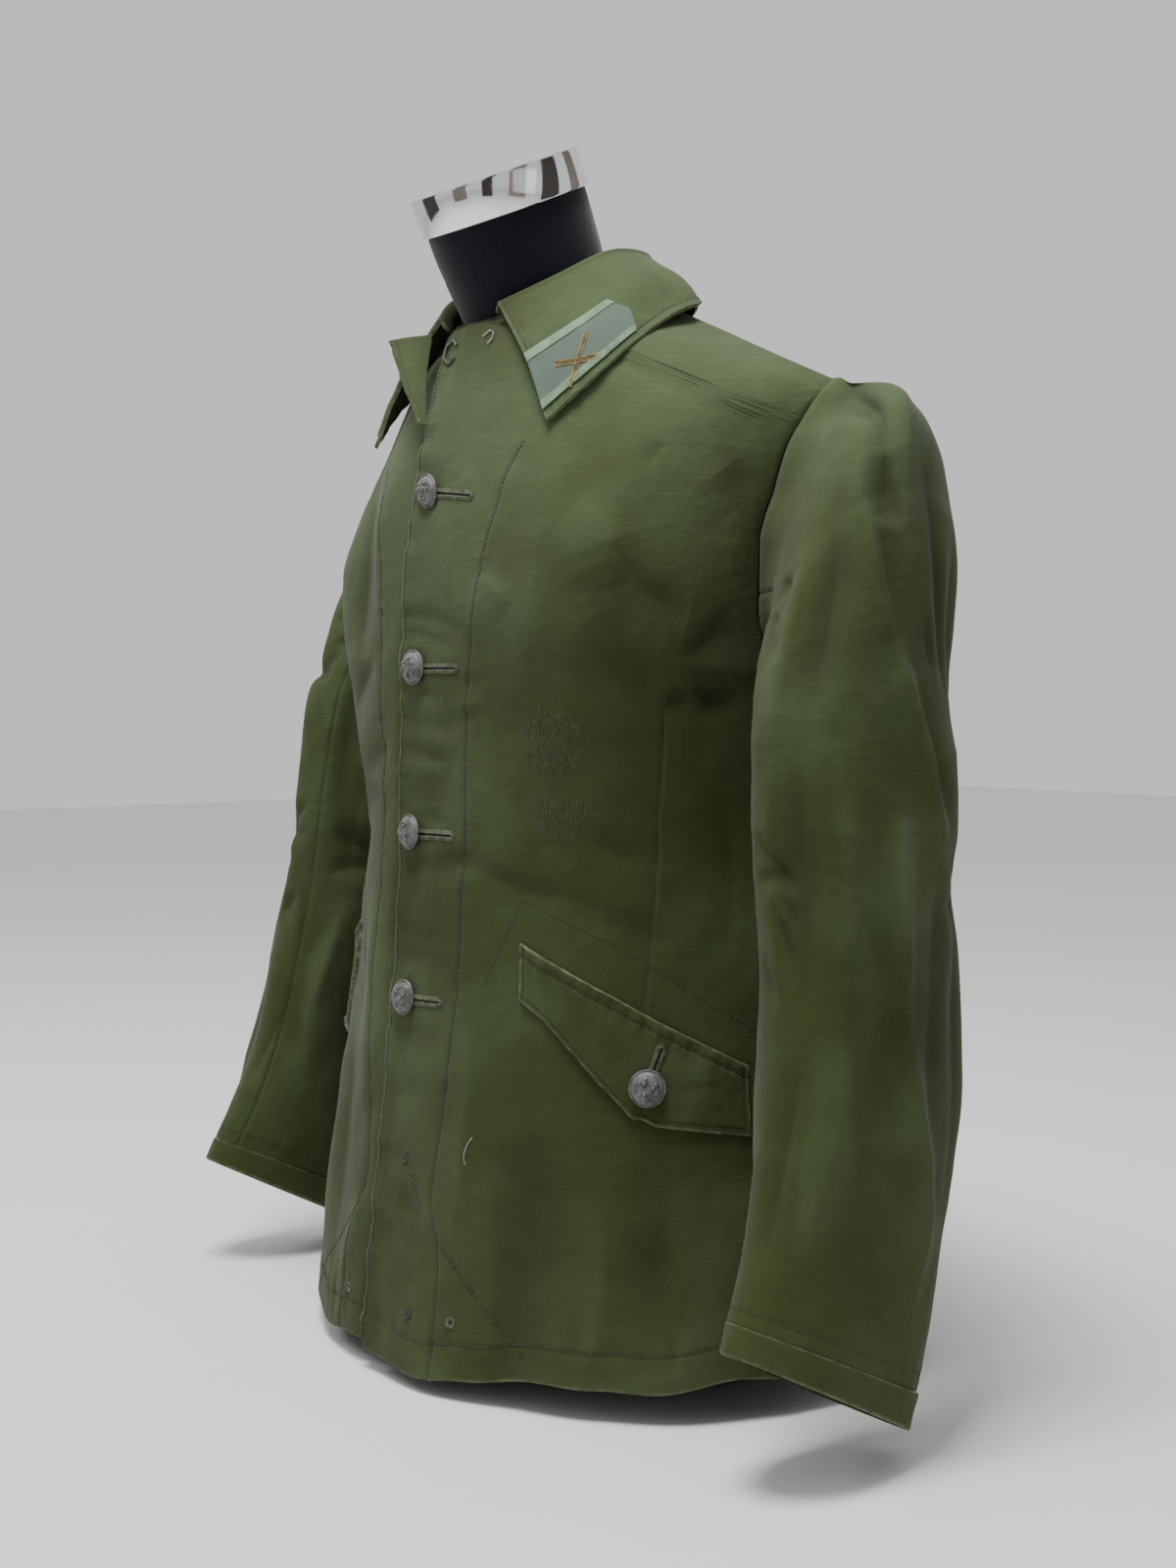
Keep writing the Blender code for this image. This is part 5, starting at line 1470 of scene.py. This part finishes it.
def make_motif(word, side, on):
    """Plain crossed bars in satin stitch: rows of slanting threads between two corded sides."""
    cords = []
    for (x0, y0), (x1, y1) in MOTIF_BARS:
        start, end = np.array([x0, y0]) * MM, np.array([x1, y1]) * MM
        if side < 0:
            start[0], end[0] = (2 * COLLAR_LONG - x for x in (start[0], end[0]))
        across = np.array([start[1] - end[1], end[0] - start[0]])
        across /= np.hypot(*across)
        length = np.hypot(*(end - start))
        count = int(length / 0.0007)
        zigzag = []
        for k in range(count + 1):
            wide = 1.0 + 0.55 * ease(abs(k / count - 0.5) * 2 - 0.45) * 2
            zigzag.append(start + (end - start) * k / count + across * (0.00085 * wide) * (-1) ** k)
        cords.append(on.at(zigzag, 0.0013))
        for offset in (-0.0012, 0.0012):
            run = [start + (end - start) * k / 16 + across * offset for k in range(17)]
            cords.append(on.at(run, 0.0012))
    threads("motif_" + word, cords, GOLD_THREAD, 0.00034, "patch_cloth")


def make_lapel():
    share = packed(64, (0.0, 0.03, 1.5))
    across = packed(44, (0.0, 0.05, 1.0), (1.0, 0.06, 2.0))
    columns = rows_at(LAPEL, share)
    fold = points(columns, "fold")
    edge = points(columns, "edge")
    a = across[None, :, None]
    grid = fold[:, None] * (1 - a) + edge[:, None] * a
    grid[..., 1] -= LAPEL_FULLNESS * np.sin(math.pi * a[..., 0])
    out = np.zeros_like(grid)
    out[..., 1] = -1.0
    from_fold = arcs(grid, 1)
    from_top = arcs(grid, 0)
    free = np.minimum(from_fold[:, -1:] - from_fold, from_top)
    plan = np.stack([from_fold, from_top], -1)
    sheet = Sheet(grid, out, plan, free)
    size = cut_of(sheet)
    sheet.raise_by(waviness(sheet, 0.6 * MM, 0.02, 97) + pucker(free, from_top, 0.006, 0.008, 0.4 * MM, 98))
    sheet.settle()
    sheet.round_edges()
    made = ride(shell("cloth_lapel_right", sheet, TRIM, GREEN), "jacket_cloth", "lapel_right")
    declare(size)
    runs = []
    for inset in (0.0022, 0.0062):
        cols = np.arange(grid.shape[1], dtype=float)
        rows = [r for r in range(3, grid.shape[0] - 6) if from_fold[r, -1] > inset * 1.6]
        where = np.array([(r, np.interp(from_fold[r, -1] - inset, from_fold[r], cols)) for r in rows])
        runs.append(sheet.read(sheet.grid, where) + sheet.read(sheet.out, where) * THREAD_LIFT)
    stitches("stitches_lapel", runs, DARK_THREAD, 0.0026, 0.0018, 0.00026)
    return sheet


# ---------------------------------------------------------------- flaps
FLAP_FOLDS = table(
    FOLDS,
    (20, -8, 60, -40, 6, 6, -1.3), (60, -6, 85, -30, -4, 6, 1.2), (96, -50, 70, -20, 4, 5, -1.2),
    (110, -8, 100, -34, 3, 5, -1.3), (130, -10, 150, -34, -4, 7, 1.3), (120, -40, 150, -20, 3, 5, -1.1),
)


def on_flap(share, depth, side, height):
    """A point on the front at a share of the flap's length and a depth below its upper edge."""
    t = FLAP_FRONT[0] + (FLAP_BACK[0] - FLAP_FRONT[0]) * share
    z = FLAP_FRONT[1] + (FLAP_BACK[1] - FLAP_FRONT[1]) * share - depth
    v = height_share(z)
    out = normals(front_row, t, v, side) * side
    return front_row(t, v, side) + out * height, out


def make_flap(word, side):
    share = packed(200, (0.0, 0.02, 3.0), (1.0, 0.02, 3.0))
    ss, down = np.meshgrid(share, packed(84, (0.0, 0.04, 1.5), (1.0, 0.05, 3.0)))
    deep = np.interp(ss, FLAP_DEPTH["share"], FLAP_DEPTH["depth"])
    soft = deep - 0.002 * np.exp(-((ss - 0.54) / 0.03) ** 2)
    grid, out = on_flap(ss, soft * down, side, SEAM + CLOTH + 0.4 * MM)
    from_side = arcs(grid, 1)
    from_top = arcs(grid, 0)
    sides = np.minimum(from_side, from_side[:, -1:] - from_side)
    below = from_top[-1:] - from_top
    edge = np.minimum(sides, below)
    plan = np.stack([from_side, -from_top], -1)
    sheet = Sheet(grid, out, plan, np.minimum(edge, from_top))
    size = cut_of(sheet)
    amount = pucker(from_top - 0.006, plan[..., 0], 0.007, 0.0085, 1.0 * MM, 101)
    amount += pucker(edge, plan[..., 0] + plan[..., 1], 0.009, 0.0105, 0.7 * MM, 103)
    amount += groove(edge - STITCH_IN, 1.2 * MM, 0.45 * MM) + groove(from_top - 0.0075, 1.4 * MM, 0.7 * MM)
    amount += 1.1 * MM * speckle(plan[..., 0], plan[..., 1], 0.026, 105)
    amount += fold_relief(plan, FLAP_FOLDS) + 1.0 * MM * ease(down)
    sheet.raise_by(amount * (0.3 + 0.7 * ease(from_top / 0.003)))
    sheet.settle()
    sheet.round_edges()
    made = ride(shell("cloth_flap_" + word, sheet, 0.0018, GREEN), "jacket_cloth", "flap_" + word)
    declare(size)
    top = sheet.beside(0.0075, THREAD_LIFT, 0, 0.02, 0.98)
    rows, cols = sheet.edge.shape
    rise = arcs(sheet.grid[::-1], 0).T
    low = np.array([(rows - 1 - np.interp(STITCH_IN, rise[c], np.arange(rows)), c)
                    for c in range(7, cols - 7)])
    low = np.clip(low, 0, np.array(sheet.edge.shape) - 1.001)
    under = sheet.read(sheet.grid, low) + sheet.read(sheet.out, low) * THREAD_LIFT
    front_edge = sheet.beside(STITCH_IN, THREAD_LIFT, 1, 0.10, 0.93)
    stitches("stitches_flap_" + word, [top, under, front_edge], DARK_THREAD)
    return sheet


# ---------------------------------------------------------------- buttonholes, darns, eyelets
def slot_outline(start, end, half, eye, count=44):
    """Places round a slit from start to end, with a round eye of the given radius at the start."""
    start, end = np.array(start), np.array(end)
    along = (end - start) / np.hypot(*(end - start))
    across = np.array([-along[1], along[0]])
    length = np.hypot(*(end - start))
    out = []
    for k in range(count):
        x = length * k / (count - 1)
        wide = half + max(eye - half, 0) * math.exp(-((x - eye) / eye) ** 2)
        out.append((start + along * x + across * wide, across))
    for k in range(5):
        angle = math.pi / 2 - math.pi * (k + 1) / 6
        way = across * math.sin(angle) + along * math.cos(angle)
        out.append((end + way * half, way))
    for k in range(count):
        x = length * (1 - k / (count - 1))
        wide = half + max(eye - half, 0) * math.exp(-((x - eye) / eye) ** 2)
        out.append((start + along * x - across * wide, -across))
    for k in range(7):
        angle = -math.pi / 2 - math.pi * (k + 1) / 8
        way = across * math.sin(angle) + along * math.cos(angle)
        out.append((start + way * eye, way))
    return out


def buttonhole(name, sheet, start, end, half=0.0011, eye=0.0021):
    """Purl stitches all round a slit, and a thin sheet of painted shadow in the gap between its lips."""
    outline = slot_outline(start, end, half, eye)
    jitter = np.random.default_rng(5).uniform(-1, 1, (len(outline), 2))
    purls = []
    rim = []
    for (place, way), (uneven, _) in zip(outline, jitter):
        inner = place - way * 0.0001
        outer = place + way * (0.0021 + 0.0003 * uneven)
        stops = [inner, (inner + outer) / 2, outer]
        purls.append(sheet.at(stops) + sheet.out_at(stops) * np.array([[0.0005], [0.0008], [0.0001]]))
        rim.append(place + way * 0.0001)
    rim.append(rim[0])
    threads("purls_" + name, purls, GREEN_THREAD, 0.00038)
    threads("cord_" + name, [sheet.at(rim, 0.0007)], GREEN_THREAD, 0.00042)
    # The shade inside the slit is painted: a thin near-black sheet.
    work = bmesh.new()
    loop = [work.verts.new(point) for point in sheet.at([place for place, way in outline], 0.00018)]
    face = work.faces.new(loop)
    lower = bmesh.ops.extrude_face_region(work, geom=[face])["geom"]
    shift = -sheet.out_at([np.array(start)])[0] * 0.0003
    lower = [part for part in lower if isinstance(part, bmesh.types.BMVert)]
    bmesh.ops.translate(work, vec=Vector(shift), verts=lower)
    bmesh.ops.recalc_face_normals(work, faces=work.faces)
    ride(from_bmesh("gap_" + name, work, SHADOW), "jacket_cloth")


def make_buttonholes(front, flaps):
    for number, (end, height) in enumerate(zip(HOLE_ENDS, BUTTON_HEIGHTS), start=1):
        buttonhole("hole_%d" % number, front, (0.0005, height - 0.001), end)
    share, depth = np.array(FLAP_BUTTON)[:, None]
    for word, flap in flaps.items():
        middle = on_flap(share, depth, 1 if word == "left" else -1, 0.0)[0][0]
        far = np.linalg.norm(flap.grid - middle, axis=-1)
        at = flap.plan[np.unravel_index(np.argmin(far), far.shape)]
        buttonhole("hole_flap_" + word, flap, (at[0], at[1] + 0.004), (at[0] + 0.002, at[1] + 0.028))


def darn(name, sheet, low, high, seed, finish):
    """A worn place worked over with close rows of uneven running stitches."""
    chance = np.random.default_rng(seed)
    (x0, y0), (x1, y1) = low, high
    rows = int((x1 - x0) / 0.0016)
    paths = []
    for k in range(rows):
        x = x0 + (x1 - x0) * (k + 0.5) / rows
        bulge = 1 - 0.5 * abs(2 * (k + 0.5) / rows - 1) ** 3
        middle = (y0 + y1) / 2 + chance.uniform(-0.002, 0.002)
        half = (y1 - y0) / 2 * bulge * chance.uniform(0.85, 1.0)
        y = middle - half
        while y < middle + half:
            long = chance.uniform(0.0022, 0.0052)
            if chance.uniform() > 0.12:
                lean = chance.uniform(-0.0003, 0.0003)
                stops = [(x, y), (x + lean, y + long / 2), (x + lean, y + long)]
                lift = np.array([[0.0], [0.00035], [0.0]])
                paths.append(sheet.at(stops) + sheet.out_at(stops) * lift)
            y += long + 0.0006
    threads(name, paths, finish, 0.00030)


def eyelet(name, sheet, place, radius, finish, dark):
    """A round hole worked over with short radial stitches; where dark is set, a disc of painted shadow
    stands for the hole.
    """
    count = 26
    paths = []
    for k in range(count):
        angle = 2 * math.pi * k / count
        way = np.array([math.cos(angle), math.sin(angle)])
        stops = [np.array(place) + way * radius * share for share in (0.42, 0.75, 1.0)]
        paths.append(sheet.at(stops) + sheet.out_at(stops) * np.array([[0.0002], [0.0007], [0.0001]]))
    threads(name, paths, finish, 0.00036)
    # A disc of painted shadow for the shade inside the hole.
    if dark:
        work = bmesh.new()
        ring_places = [np.array(place) + 0.5 * radius * np.array([math.cos(a), math.sin(a)])
                       for a in np.linspace(0, 2 * math.pi, 25)[:-1]]
        loop = [work.verts.new(point) for point in sheet.at(ring_places, 0.00022)]
        work.faces.new(loop)
        bmesh.ops.recalc_face_normals(work, faces=work.faces)
        face = list(work.faces)[0]
        if face.normal.dot(Vector(sheet.out_at([place])[0])) < 0:
            face.normal_flip()
        ride(from_bmesh(name + "_hole", work, SHADOW), "jacket_cloth")


def ladder(name, sheet, path, finish, pitch=0.0035, wide=0.004):
    """Hand stitches across a line, like the rungs of a ladder."""
    path = np.asarray(path)
    step = np.hypot(*np.diff(path, axis=0).T)
    length = np.concatenate([[0], np.cumsum(step)])
    at = np.arange(pitch, length[-1], pitch)
    middle = np.stack([np.interp(at, length, path[:, k]) for k in range(2)], 1)
    chance = np.random.default_rng(9).uniform(-1, 1, (len(at), 2))
    way = np.gradient(middle, axis=0)
    way = way[:, ::-1] * (-1, 1) / np.hypot(way[:, 0], way[:, 1])[:, None]
    paths = []
    for point, across, (a, b) in zip(middle, way, chance):
        stops = [point - across * wide * (0.5 + 0.12 * a), point, point + across * wide * (0.5 + 0.12 * b)]
        paths.append(sheet.at(stops) + sheet.out_at(stops) * np.array([[0.0], [0.0004], [0.0]]))
    threads(name, paths, finish, 0.00028)


def make_repairs(left, right):
    darn("darn_large", left, (0.098, 0.402), (0.135, 0.439), 3, DARN_THREAD)
    darn("darn_small", left, (0.103, 0.361), (0.135, 0.387), 4, DARN_THREAD)
    bag = bend_line((69, 271), (93, 324), (143, 304), (169, 292), (204, 271), (245, 248))
    dart = DART + (0.002, 0)
    for line, path, pitch, length, radius in (
            ("pocket_", bag, 0.0034, 0.0024, 0.00028), ("dart_", dart, 0.0030, 0.0022, 0.00026)):
        for word, front in (("left", left), ("right", right)):
            row = [front.at(path, THREAD_LIFT)]
            stitches("stitches_" + line + word, row, DARK_THREAD, pitch, length, radius)
    eyelet("eyelet_low", left, (0.011, 0.157), 0.0034, DARK_THREAD, True)
    eyelet("eyelet_corner", left, (0.030, 0.064), 0.0036, DARK_THREAD, True)
    eyelet("eyelet_hem", left, (0.068, 0.065), 0.0038, GREEN_THREAD, False)
    eyelet("eyelet_right", right, (0.044, 0.059), 0.0036, GREEN_THREAD, True)
    pulled = [(0.071, 0.179), (0.0685, 0.1745), (0.067, 0.170), (0.0665, 0.166), (0.0675, 0.162)]
    lift = np.array([[0.0], [0.0010], [0.0013], [0.0009], [0.0]])
    threads("pulled_thread", [left.at(pulled) + left.out_at(pulled) * lift], PALE_THREAD, 0.00026)
    ladder("ladder_low", left, bend_line((20, 152), (34, 128)), DARK_THREAD)
    ladder("ladder_corner", left, bend_line((52, 111), (86, 82)), DARK_THREAD, 0.0042, 0.003)


# ---------------------------------------------------------------- buttons
def button_profile():
    """Radius and height from the middle of the back, over the rolled rim, to the middle of the dome."""
    r, h = BUTTON_RADIUS, BUTTON_HEIGHT
    line = [(0.0, 0.0), (r * 0.86, 0.0), (r * 0.96, h * 0.05), (r, h * 0.15), (r * 0.995, h * 0.28),
            (r * 0.955, h * 0.37), (r * 0.91, h * 0.36), (r * 0.885, h * 0.33)]
    for step in range(1, 13):
        angle = math.pi / 2 * step / 12
        line.append((r * 0.875 * math.cos(angle), h * (0.33 + 0.67 * math.sin(angle))))
    return line


def add_dome(work, place, radius, flat, turn):
    made = bmesh.ops.create_uvsphere(work, u_segments=12, v_segments=8, radius=radius)
    shape = turn @ Matrix.Diagonal((1.0, 1.0, flat, 1.0))
    bmesh.ops.transform(work, matrix=Matrix.Translation(place) @ shape, verts=made["verts"])


def make_button(name, place, out, roll):
    work = bmesh.new()
    line = [work.verts.new((radius, 0.0, height)) for radius, height in button_profile()]
    edges = [work.edges.new(pair) for pair in zip(line, line[1:])]
    bmesh.ops.spin(work, geom=line + edges, cent=(0, 0, 0), axis=(0, 0, 1), angle=2 * math.pi, steps=64,
                   use_duplicate=False)
    bmesh.ops.remove_doubles(work, verts=work.verts, dist=1e-5)
    bmesh.ops.recalc_face_normals(work, faces=work.faces)
    for k in range(3):
        around = roll + 2 * math.pi * k / 3
        for radial, swing in ((0.30, 0.0), (0.52, 0.42), (0.52, -0.42)):
            x = BUTTON_RADIUS * radial * math.cos(around + swing)
            y = BUTTON_RADIUS * radial * math.sin(around + swing)
            share = math.hypot(x, y) / (BUTTON_RADIUS * 0.875)
            z = BUTTON_HEIGHT * (0.33 + 0.67 * math.sqrt(1 - share ** 2))
            tip = Vector((0, 0, 1)).rotation_difference(Vector((x * 0.5, y * 0.5, BUTTON_HEIGHT)))
            add_dome(work, Vector((x, y, z)), 0.00145, 0.75, tip.to_matrix().to_4x4())
    turn = Vector((0, 0, 1)).rotation_difference(Vector(out)).to_matrix().to_4x4()
    bmesh.ops.transform(work, matrix=turn, verts=work.verts)
    seat = Vector(place) + Vector(out) * (BUTTON_STANDOFF + 0.0002)
    bmesh.ops.translate(work, vec=seat, verts=work.verts)
    ride(from_bmesh("worn_" + name, work, BUTTON), "button_metal", name)


def make_buttons():
    for number, height in enumerate(BUTTON_HEIGHTS, start=1):
        v = height_share(np.array([height]))
        place = front_row(np.array([0.0]), v)[0]
        tilt = (0.05 * (-1) ** number, -1.0, 0.04 * (number - 2))
        out = np.array(tilt) / np.linalg.norm(tilt)
        make_button("button_%d" % number, place, out, 0.5 * number)
    for word, side in (("left", 1), ("right", -1)):
        share, depth = FLAP_BUTTON
        place, out = on_flap(np.array([share]), np.array([depth]), side, SEAM + CLOTH + 0.8 * MM)
        make_button("button_flap_" + word, place[0], out[0], 0.9)


# ---------------------------------------------------------------- neck tab, hook and eye
def make_neck_details(left):
    """A short cord loop with a curled end, and a small hook and eye at the top of the placket."""
    pin = [(0.020, 0.679), (0.024, 0.683), (0.028, 0.681), (0.029, 0.677), (0.026, 0.674)]
    threads("hook", [left.at(pin, 0.0012)], STEEL, 0.00055)
    loop = [(-0.004, 0.676), (-0.010, 0.680), (-0.015, 0.676),
            (-0.015, 0.668), (-0.009, 0.664), (-0.003, 0.668)]
    threads("tab_loop", [left.at(loop, 0.0012)], GREEN_THREAD, 0.0011)


# ---------------------------------------------------------------- dress form and cap
def make_form():
    z = np.concatenate([[FORM["z"][0], FORM["z"][0] + 0.004], np.linspace(0.034, 0.72, 90)])
    turn = np.linspace(0, 2 * math.pi, 129)[:-1]
    rings = []
    for height in z:
        at = np.array([height])
        y, wide, deep = (smooth(FORM["z"], FORM[name], at)[0] for name in ("y", "wide", "deep"))
        level = np.full_like(turn, height)
        rings.append(np.stack([wide * np.cos(turn), y + deep * np.sin(turn), level], -1))
    for share in np.linspace(0.12, 1.0, 12):
        lean = NECK_TILT * share
        y = FORM["y"][-1] + (NECK_TOP[1] - FORM["y"][-1]) * share
        height = FORM["z"][-1] + (NECK_TOP[2] - FORM["z"][-1]) * share
        rings.append(np.stack([NECK_RADIUS * np.cos(turn), y + NECK_RADIUS * np.sin(turn) * math.cos(lean),
                               height + NECK_RADIUS * np.sin(turn) * math.sin(lean)], -1))
    work = bmesh.new()
    rows = [[work.verts.new(point) for point in line] for line in rings]
    for low, high in zip(rows, rows[1:]):
        for i in range(len(turn)):
            after = (i + 1) % len(turn)
            work.faces.new((low[i], low[after], high[after], high[i]))
    work.faces.new(rows[0][::-1])
    work.faces.new(rows[-1])
    ride(from_bmesh("jersey_form", work, JERSEY, 60), "form_jersey", "dress_form")


def make_cap():
    """A polished disc with eased edges on the neck's tilted top."""
    r, h, e = CAP_RADIUS, CAP_HEIGHT, 0.0016
    line = [(0.0, 0.0), (r - e, 0.0), (r - e * 0.3, e * 0.3), (r, e), (r, h * 0.5), (r, h - e)]
    line += [(r - e * 0.3, h - e * 0.3), (r - e, h), (r * 0.5, h + 0.0003), (0.0, h + 0.0004)]
    work = bmesh.new()
    made = [work.verts.new((radius, 0.0, height)) for radius, height in line]
    edges = [work.edges.new(pair) for pair in zip(made, made[1:])]
    bmesh.ops.spin(work, geom=made + edges, cent=(0, 0, 0), axis=(0, 0, 1), angle=2 * math.pi, steps=96,
                   use_duplicate=False)
    bmesh.ops.remove_doubles(work, verts=work.verts, dist=1e-5)
    bmesh.ops.recalc_face_normals(work, faces=work.faces)
    tilt = Vector((0.0, -math.sin(NECK_TILT), math.cos(NECK_TILT)))
    turn = Vector((0, 0, 1)).rotation_difference(tilt).to_matrix().to_4x4()
    bmesh.ops.transform(work, matrix=turn, verts=work.verts)
    bmesh.ops.translate(work, vec=Vector(NECK_TOP) + tilt * SEAM, verts=work.verts)
    ride(from_bmesh("bright_cap", work, CHROME, 25), "cap_chrome", "neck_cap")


# ---------------------------------------------------------------- camera, floor and light
def make_stage():
    work = bmesh.new()
    corners = [work.verts.new(point) for point in ((-6, -6, -0.0004), (6, -6, -0.0004), (6, 6, -0.0004),
                                                   (-6, 6, -0.0004))]
    work.faces.new(corners)
    mesh = bpy.data.meshes.new("floor")
    work.to_mesh(mesh)
    work.free()
    mesh.materials.append(floor_finish())
    floor = bpy.data.objects.new("floor", mesh)
    bpy.context.scene.collection.objects.link(floor)
    world = bpy.data.worlds.new("soft_room")
    world.use_nodes = True
    world.node_tree.nodes["Background"].inputs["Color"].default_value = (1.0, 1.0, 1.0, 1)
    world.node_tree.nodes["Background"].inputs["Strength"].default_value = 0.74
    bpy.context.scene.world = world
    for name, power, size, place, target in (
            ("overhead", 58.0, 0.8, (0.25, -0.55, 2.3), (0.0, 0.0, 0.40)),
            ("key", 12.0, 0.7, (-1.5, -1.2, 1.8), (0.0, 0.0, 0.40)),
            ("fill", 2.0, 1.2, (2.2, -0.2, 0.9), (0.0, 0.0, 0.35)),
    ):
        data = bpy.data.lights.new(name, "AREA")
        data.energy = power
        data.size = size
        light = bpy.data.objects.new(name, data)
        light.location = place
        light.rotation_euler = (Vector(target) - Vector(place)).to_track_quat("-Z", "Y").to_euler()
        bpy.context.scene.collection.objects.link(light)


def make_flags():
    """Upright dark cards out of the picture, for the bright cap to show as stripes."""
    for number, (turn, width, shade) in enumerate(FLAGS):
        made, tree, shader = finish_of("card_%d" % number, Roughness=0.9)
        warm = (shade, shade * 0.78, shade * 0.6, 1)
        grain = noise(tree, add(tree, "ShaderNodeTexCoord").outputs["Object"], 3.0)
        tree.links.new(blended(tree, grain, warm, (shade, shade, shade, 1)), shader.inputs["Base Color"])
        middle = Vector((math.cos(math.radians(turn - 38)), math.sin(math.radians(turn - 38)), 0)) * 2.6
        side = Vector((-middle.y, middle.x, 0)).normalized() * width
        work = bmesh.new()
        corners = [middle - side, middle + side, middle + side + Vector((0, 0, 3.2)),
                   middle - side + Vector((0, 0, 3.2))]
        work.faces.new([work.verts.new(corner) for corner in corners])
        mesh = bpy.data.meshes.new("card_%d" % number)
        work.to_mesh(mesh)
        work.free()
        mesh.materials.append(made)
        card = bpy.data.objects.new("card_%d" % number, mesh)
        bpy.context.scene.collection.objects.link(card)
        card.visible_camera = False


def make_camera():
    data = bpy.data.cameras.new("camera")
    data.lens = 48.6
    data.sensor_width = 36.0
    data.shift_x = -0.015
    data.shift_y = -0.0625
    camera = bpy.data.objects.new("camera", data)
    camera.location = (1.1426, -0.8723, 0.433)
    camera.rotation_euler = Vector((-0.788, 0.6157, 0.0)).to_track_quat("-Z", "Y").to_euler()
    bpy.context.scene.collection.objects.link(camera)
    bpy.context.scene.camera = camera


# ---------------------------------------------------------------- all of it
left_front = make_front("left", 1, 330, 250)
right_front = make_front("right", -1, 260, 170)
make_back(230, 120)
for side_word, side_sign, counts in (("left", 1, (240, 200, 90)), ("right", -1, (200, 150, 80))):
    make_sleeve(side_word, side_sign, *counts)
    make_cuff(side_word, side_sign)
whole_collar = make_collar()
make_patches(whole_collar)
make_lapel()
flap_sheets = {"left": make_flap("left", 1), "right": make_flap("right", -1)}
make_buttonholes(left_front, flap_sheets)
make_repairs(left_front, right_front)
make_buttons()
make_neck_details(left_front)
make_form()
make_cap()
make_stage()
make_flags()
make_camera()
